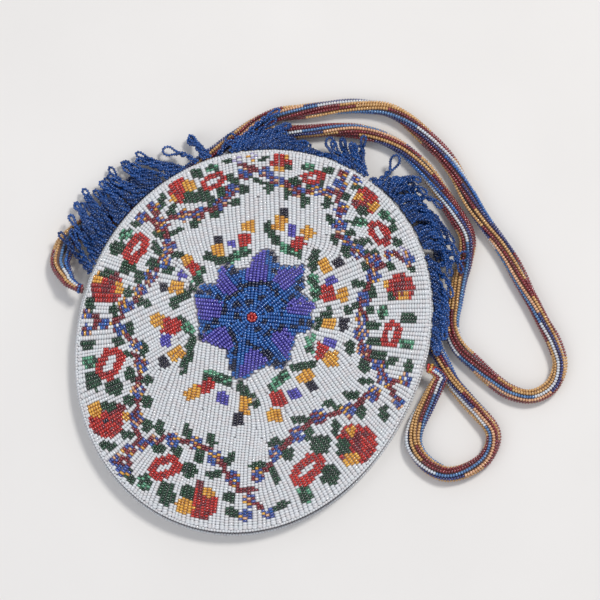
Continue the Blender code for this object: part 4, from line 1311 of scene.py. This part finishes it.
def strap():
    """The strap and its sewn ends. Returns its route."""
    knots = []
    for across, along, rise in STRAP_ROUTE:
        height = (rise + 0.5) * STRAP_DIAMETER
        knots.append(Vector((across * PANEL_RADIUS, along * PANEL_RADIUS, height)))
    route = smooth_route(knots, STRAP_SPACING)
    # The core's dark cotton is partly painted shade for the gaps between the strings' beads
    cotton = cloth_material("strap_cotton_and_gap_shade", *STRAP_COTTON_AND_GAP_SHADE)
    core = tube("strap_core", route, [CORE_RADIUS] * len(route), 3, cotton)
    on_root(core)
    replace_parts(core, "strap")
    right = end_line(RIGHT_END, route[0], route[1])
    left = end_line(LEFT_END, route[-1], route[-2])
    whole = np.concatenate((right[::-1][:-1], np.array(route), left[1:]))
    pieces = strap_strings(np.array(smooth_route([Vector(p) for p in whole], STRING_SPACING)))
    pieces += strap_end("strap_end_right", right, ("red", "gold", "red"))
    pieces += strap_end("strap_end_left", left, ("dark_red", "blue", "dark_red"))
    return np.array([tuple(p) for p in route])


def strap_strings(middle):
    """The strings of beads round the strap's core, which change colour block by block."""
    run = run_along(middle)
    to_left = run[-1] - run
    _, across, upward = line_frame(middle)
    drawn_in = np.interp(np.minimum(run, to_left), ENDS_DRAWN[0], ENDS_DRAWN[1])
    spread = np.exp(-((to_left / MM - SPREAD_MIDDLE) / SPREAD_REACH) ** 2)
    found = {}
    for string, colours in enumerate(STRING_COLOURS):
        turn = 2 * math.pi * (string / len(STRING_COLOURS))
        turn = turn + 2 * math.pi * (run / STRING_TURN) + 0.6 * np.sin(run / 0.06)
        loose = np.clip(np.sin(run / 0.021 + 2.3 * string) - LOOSE_FROM, 0.0, 1.0) * LOOSE_REACH
        loose = loose * smoothstep(0.01, 0.04, run) * smoothstep(0.01, 0.04, to_left)
        wide = STRING_ASIDE + 0.32 * np.sin(run / 0.034 + 0.6) + loose + SPREAD_WIDER * spread
        tall = STRING_ABOVE + 0.35 * loose
        side = (drawn_in * wide * np.cos(turn) - SPREAD_SHIFT * spread)[:, None] * MM * across
        rise = (drawn_in * tall * np.sin(turn))[:, None] * MM * upward
        here = slice(2, -2) if string % 2 else slice(1, -1)
        places, ways, pitch, share = along_line((middle + side + rise)[here], STRING_PITCH)
        places[:, 2] = np.maximum(places[:, 2], STRING_BEAD / 2)
        block = (share * run[-1] / STRING_BLOCK + 0.31 * string).astype(int)
        under = np.interp(share, (0.0, 1.0), (run[here][0], run[here][-1]))
        outward = unit(places - sampled(middle, run, under))
        lengths = np.full(len(places), STRING_BEAD_SHARE * pitch)
        for odd, colour in enumerate(colours):
            chosen = block % 2 == odd
            stretch = [array[chosen] for array in (places, ways, outward, lengths)]
            found.setdefault(colour, []).append(stretch)
    shape = bead_shape(*STRAP_BEAD)
    made = []
    for colour, stretches in found.items():
        joined = map(np.concatenate, zip(*stretches))
        piece = beads("strap_beads_" + colour, shape, *joined, STRING_BEAD, colour)
        made.append(on_root(piece))
    return made


def seam_point(angle, outward):
    """A place on the seam, this far out from the back panel's rim."""
    reach = rim_radius(angle) + BACK_PANEL_WIDER + outward
    height = BEAD_CLOTH + (STRAP_DIAMETER + ROOM_OVER_STRAP) * fringed_share(angle) + SEAM_GAP / 2
    return np.array((reach * math.cos(angle), reach * math.sin(angle), float(height)))


def end_line(direction, strap_start, strap_second):
    """The middle line of a strap end, from the strap down to the seam."""
    start = np.array(strap_start)
    heading = unit(start - np.array(strap_second))
    root = seam_point(math.radians(direction), 0.6 * MM)
    outward = unit(root * (1.0, 1.0, 0.0))
    knots = [start, start + 2.2 * MM * heading, root + 3.0 * MM * outward, root]
    return np.array(smooth_route([Vector(k) for k in knots], END_STEP))


def strap_end(node, middle, colours):
    """The cotton of a strap end, and the knot of beads that holds it at the seam."""
    _, across, upward = line_frame(middle)
    found = {}
    for row, (back, size) in enumerate(KNOT_ROWS):
        at = len(middle) - 1 - round(back / END_STEP)
        for number in range(KNOT_BEADS):
            turn = 2 * math.pi * (number + 0.5 * (row % 2)) / KNOT_BEADS
            out = math.cos(turn) * across[at] + math.sin(turn) * upward[at]
            ring = math.cos(turn) * upward[at] - math.sin(turn) * across[at]
            found.setdefault(colours[row], []).append((middle[at] + size * out, ring, out))
    made = []
    for colour, knots in found.items():
        joined = map(np.array, zip(*knots))
        sizes = KNOT_BEAD_LENGTH, KNOT_BEAD_DIAMETER
        piece = beads(node + "_" + colour, bead_shape(*KNOT_BEAD), *joined, *sizes, colour)
        made.append(on_root(piece))
    share = np.linspace(0.0, 1.0, len(middle))
    radii = END_CORE_SHARE * np.interp(share, *END_TAPER) * MM
    core = tube(node + "_core", middle, radii, 2, cloth_material(node + "_cotton", *END_COTTON))
    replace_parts(on_root(core), node)
    return made + [core]


def fringe_loops():
    """Root direction, heading, turn, length, eye and reach of every loop, and whether it lies under."""
    found = []
    for first, last, count, *ways in FRINGE_TUFTS:
        for lower in (1, 0):
            if lower and count < FEWEST_WITH_LOWER:
                continue
            for step in range(count - lower):
                share = (step + 0.5 + 0.5 * lower) / count
                direction = first + (last - first) * share
                heading = ways[0] + (ways[2] - ways[0]) * share
                turn = ways[1] + (ways[3] - ways[1]) * share
                length = (ways[4] + (ways[5] - ways[4]) * share) * MM
                if lower:
                    length *= LOWER_LOOP
                eye = WIDE_EYE if count == 1 else NARROW_EYE
                found.append((direction, heading, turn, length, eye, ways[6] * MM, lower))
    return found


def loop_middle(index, direction, heading, turn_by, length, reach, lower, route):
    """The middle line of a fringe loop: down from the seam, clear of the panel and over the strap."""
    unruly = RIGHT_UNRULY if direction < RIGHT_FRINGE_END else 1.0
    wild = math.sin(2.4 * index) * HEADING_SHAKE + math.sin(5.1 * index + 1.0) * FINE_HEADING_SHAKE
    bend = math.radians(turn_by + TURN_SHAKE * unruly * math.sin(1.9 * index + 2.0))
    root = seam_point(math.radians(direction), 0.5 * MM)
    share = np.linspace(0.0, 1.0, LOOP_POINTS)
    turn = math.radians(heading + wild * unruly) + bend * share
    step = length / (LOOP_POINTS - 1)
    x = root[0] + np.concatenate(([0.0], np.cumsum(np.cos(turn[:-1]) * step)))
    y = root[1] + np.concatenate(([0.0], np.cumsum(np.sin(turn[:-1]) * step)))
    out = np.hypot(x, y) - rim_radius(np.arctan2(y, x)) - BACK_PANEL_WIDER
    push = np.maximum(PANEL_CLEARANCE - out, 0.0) * smoothstep(0.0, 0.25, share)
    furthest = reach * (0.85 + 0.25 * math.sin(4.3 * index))
    over_reach = np.maximum(out - 0.7 * furthest, 0.0)
    push = push - over_reach + 0.3 * furthest * np.tanh(over_reach / (0.3 * furthest))
    outward = unit(np.column_stack((x, y)))
    x, y = x + push * outward[:, 0], y + push * outward[:, 1]
    resting = STRAND_BEAD * 1.05 + (0.0 if lower else UPPER_LOOP_RISE)
    resting += LOOP_RISE_RANGE * (0.618 * index % 1.0)
    falling = root[2] + (resting - root[2]) * smoothstep(FALL_START, FALL_END, length * share)
    over = STRAP_DIAMETER + STRAND_BEAD * 1.2 + SEAM_GAP
    beside = (STRAP_DIAMETER + STRAND_BEAD) / 2 + STRAP_CLEARANCE
    away = distance_to_line(x, y, route[:, :2])
    clearing = over + (resting - over) * smoothstep(beside, 2.3 * beside, away)
    return np.column_stack((x, y, np.maximum(falling, clearing)))


def loop_strands(index, line, length, eye):
    """The string of beads of a loop: out and back round its middle line, and open at its tip."""
    _, across, upward = line_frame(line)
    share = np.linspace(0.0, 1.0, LOOP_POINTS)
    swing = 2 * math.pi * (length * share) / STRAND_TWIST + 1.3 * index
    opening = 1.0 - (2.1 * STRAND_BEAD + 2.0 * eye) / length
    open_share = np.clip((share - opening) / (1.0 - opening), 0.0, 1.0)
    spread = STRAND_SPREAD * STRAND_BEAD + eye * smoothstep(0.0, 0.6, open_share)
    spread = spread * np.sqrt(1.0 - np.clip((open_share - 0.55) / 0.46, 0.0, 1.0) ** 2)
    flat = smoothstep(opening - 0.08, opening + 0.06, share)
    level = round(float(np.interp(opening, share, swing)) / math.pi) * math.pi
    swing = swing * (1.0 - flat) + flat * level
    halves = []
    for side in (0.0, math.pi):
        offset = (spread * np.cos(swing + side))[:, None] * across
        offset = offset + (spread * np.sin(swing + side))[:, None] * upward
        halves.append(line + offset)
    loop = np.concatenate((halves[0], halves[1][::-1]))
    loop[:, 2] = np.maximum(loop[:, 2], STRAND_BEAD / 2)
    return loop


def fringe(route):
    """Loops of beads, each twisted on itself, hanging from the seam: three pieces, and three below."""
    groups = {}
    for index, (direction, heading, turn, length, eye, reach, lower) in enumerate(fringe_loops()):
        length *= 1.0 + LENGTH_SHAKE * math.sin(3.7 * index + 0.5)
        line = loop_middle(index, direction, heading, turn, length, reach, lower, route)
        places, ways, pitch, _ = along_line(loop_strands(index, line, length, eye), STRAND_PITCH)
        side = "top" if direction < TOP_FRINGE_END else "left"
        if direction < RIGHT_FRINGE_END:
            side = "right"
        pitches = np.full(len(places), pitch)
        tones = np.full(len(places), 2.618 * index % 1.0)
        groups.setdefault((side, lower), []).append((places, ways, pitches, tones))
    for (side, lower), loops in groups.items():
        places, ways, lengths, tones = map(np.concatenate, zip(*loops))
        name = "fringe_" + side + ("_under" if lower else "")
        # The loops below get the darker glass: painted shade under the upper loops
        colour = "fringe_deep" if lower else "fringe_blue"
        lying = places, ways, all_up(places), lengths, STRAND_BEAD
        made = on_root(beads(name, bead_shape(*FRINGE_BEAD), *lying, colour, tones))
        if not lower:
            first, last = FRINGE_NODES[side]
            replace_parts(made, *(f"fringe_loop_{number:02d}" for number in range(first, last + 1)))


def area_light(name, place, size, power, colour):
    data = bpy.data.lights.new(name, "AREA")
    data.energy = power
    data.color = colour
    data.size = size
    made = placed(name, data)
    made.location = place
    direction = Vector(LAMP_AIM) - Vector(place)
    made.rotation_euler = direction.to_track_quat("-Z", "Y").to_euler()


def studio():
    """A pale table, soft light from the upper right, and the camera almost straight above."""
    scene = bpy.context.scene
    sides = ((-1, -1), (1, -1), (1, 1), (-1, 1))
    corners = [(x * TABLE_HALF, y * TABLE_HALF, TABLE_HEIGHT) for x, y in sides]
    table = made_mesh("table_top", corners, [(0, 1, 2, 3)], smooth=False)
    paint = Surface("table_paint")
    tint = paint.ramp(paint.noise(9.0, 5.0), (0.3, TABLE_PAINT[0]), (0.7, TABLE_PAINT[1]))
    paint.fill(paint.shader, {"Base Color": tint, "Roughness": 0.7})
    table.data.materials.append(paint.made)
    world = bpy.data.worlds.new("room")
    world.use_nodes = True
    sky = world.node_tree.nodes["Background"]
    sky.inputs["Color"].default_value = SKY
    sky.inputs["Strength"].default_value = SKY_STRENGTH
    scene.world = world
    for name, facts in LAMPS.items():
        area_light(name, *facts)
    data = bpy.data.cameras.new("camera")
    data.sensor_width = CAMERA_SENSOR
    data.lens = CAMERA_LENS
    camera = placed("camera", data)
    tilt = math.radians(CAMERA_TILT)
    away = CAMERA_DISTANCE * Vector((0.0, -math.sin(tilt), math.cos(tilt)))
    camera.location = Vector(CAMERA_AIM) + away
    camera.rotation_euler = (tilt, 0.0, 0.0)
    scene.camera = camera
    scene.view_settings.view_transform = "Standard"


studio()
strap_route = strap()
panel_beads()
panel_cloths()
edging()
fringe(strap_route)
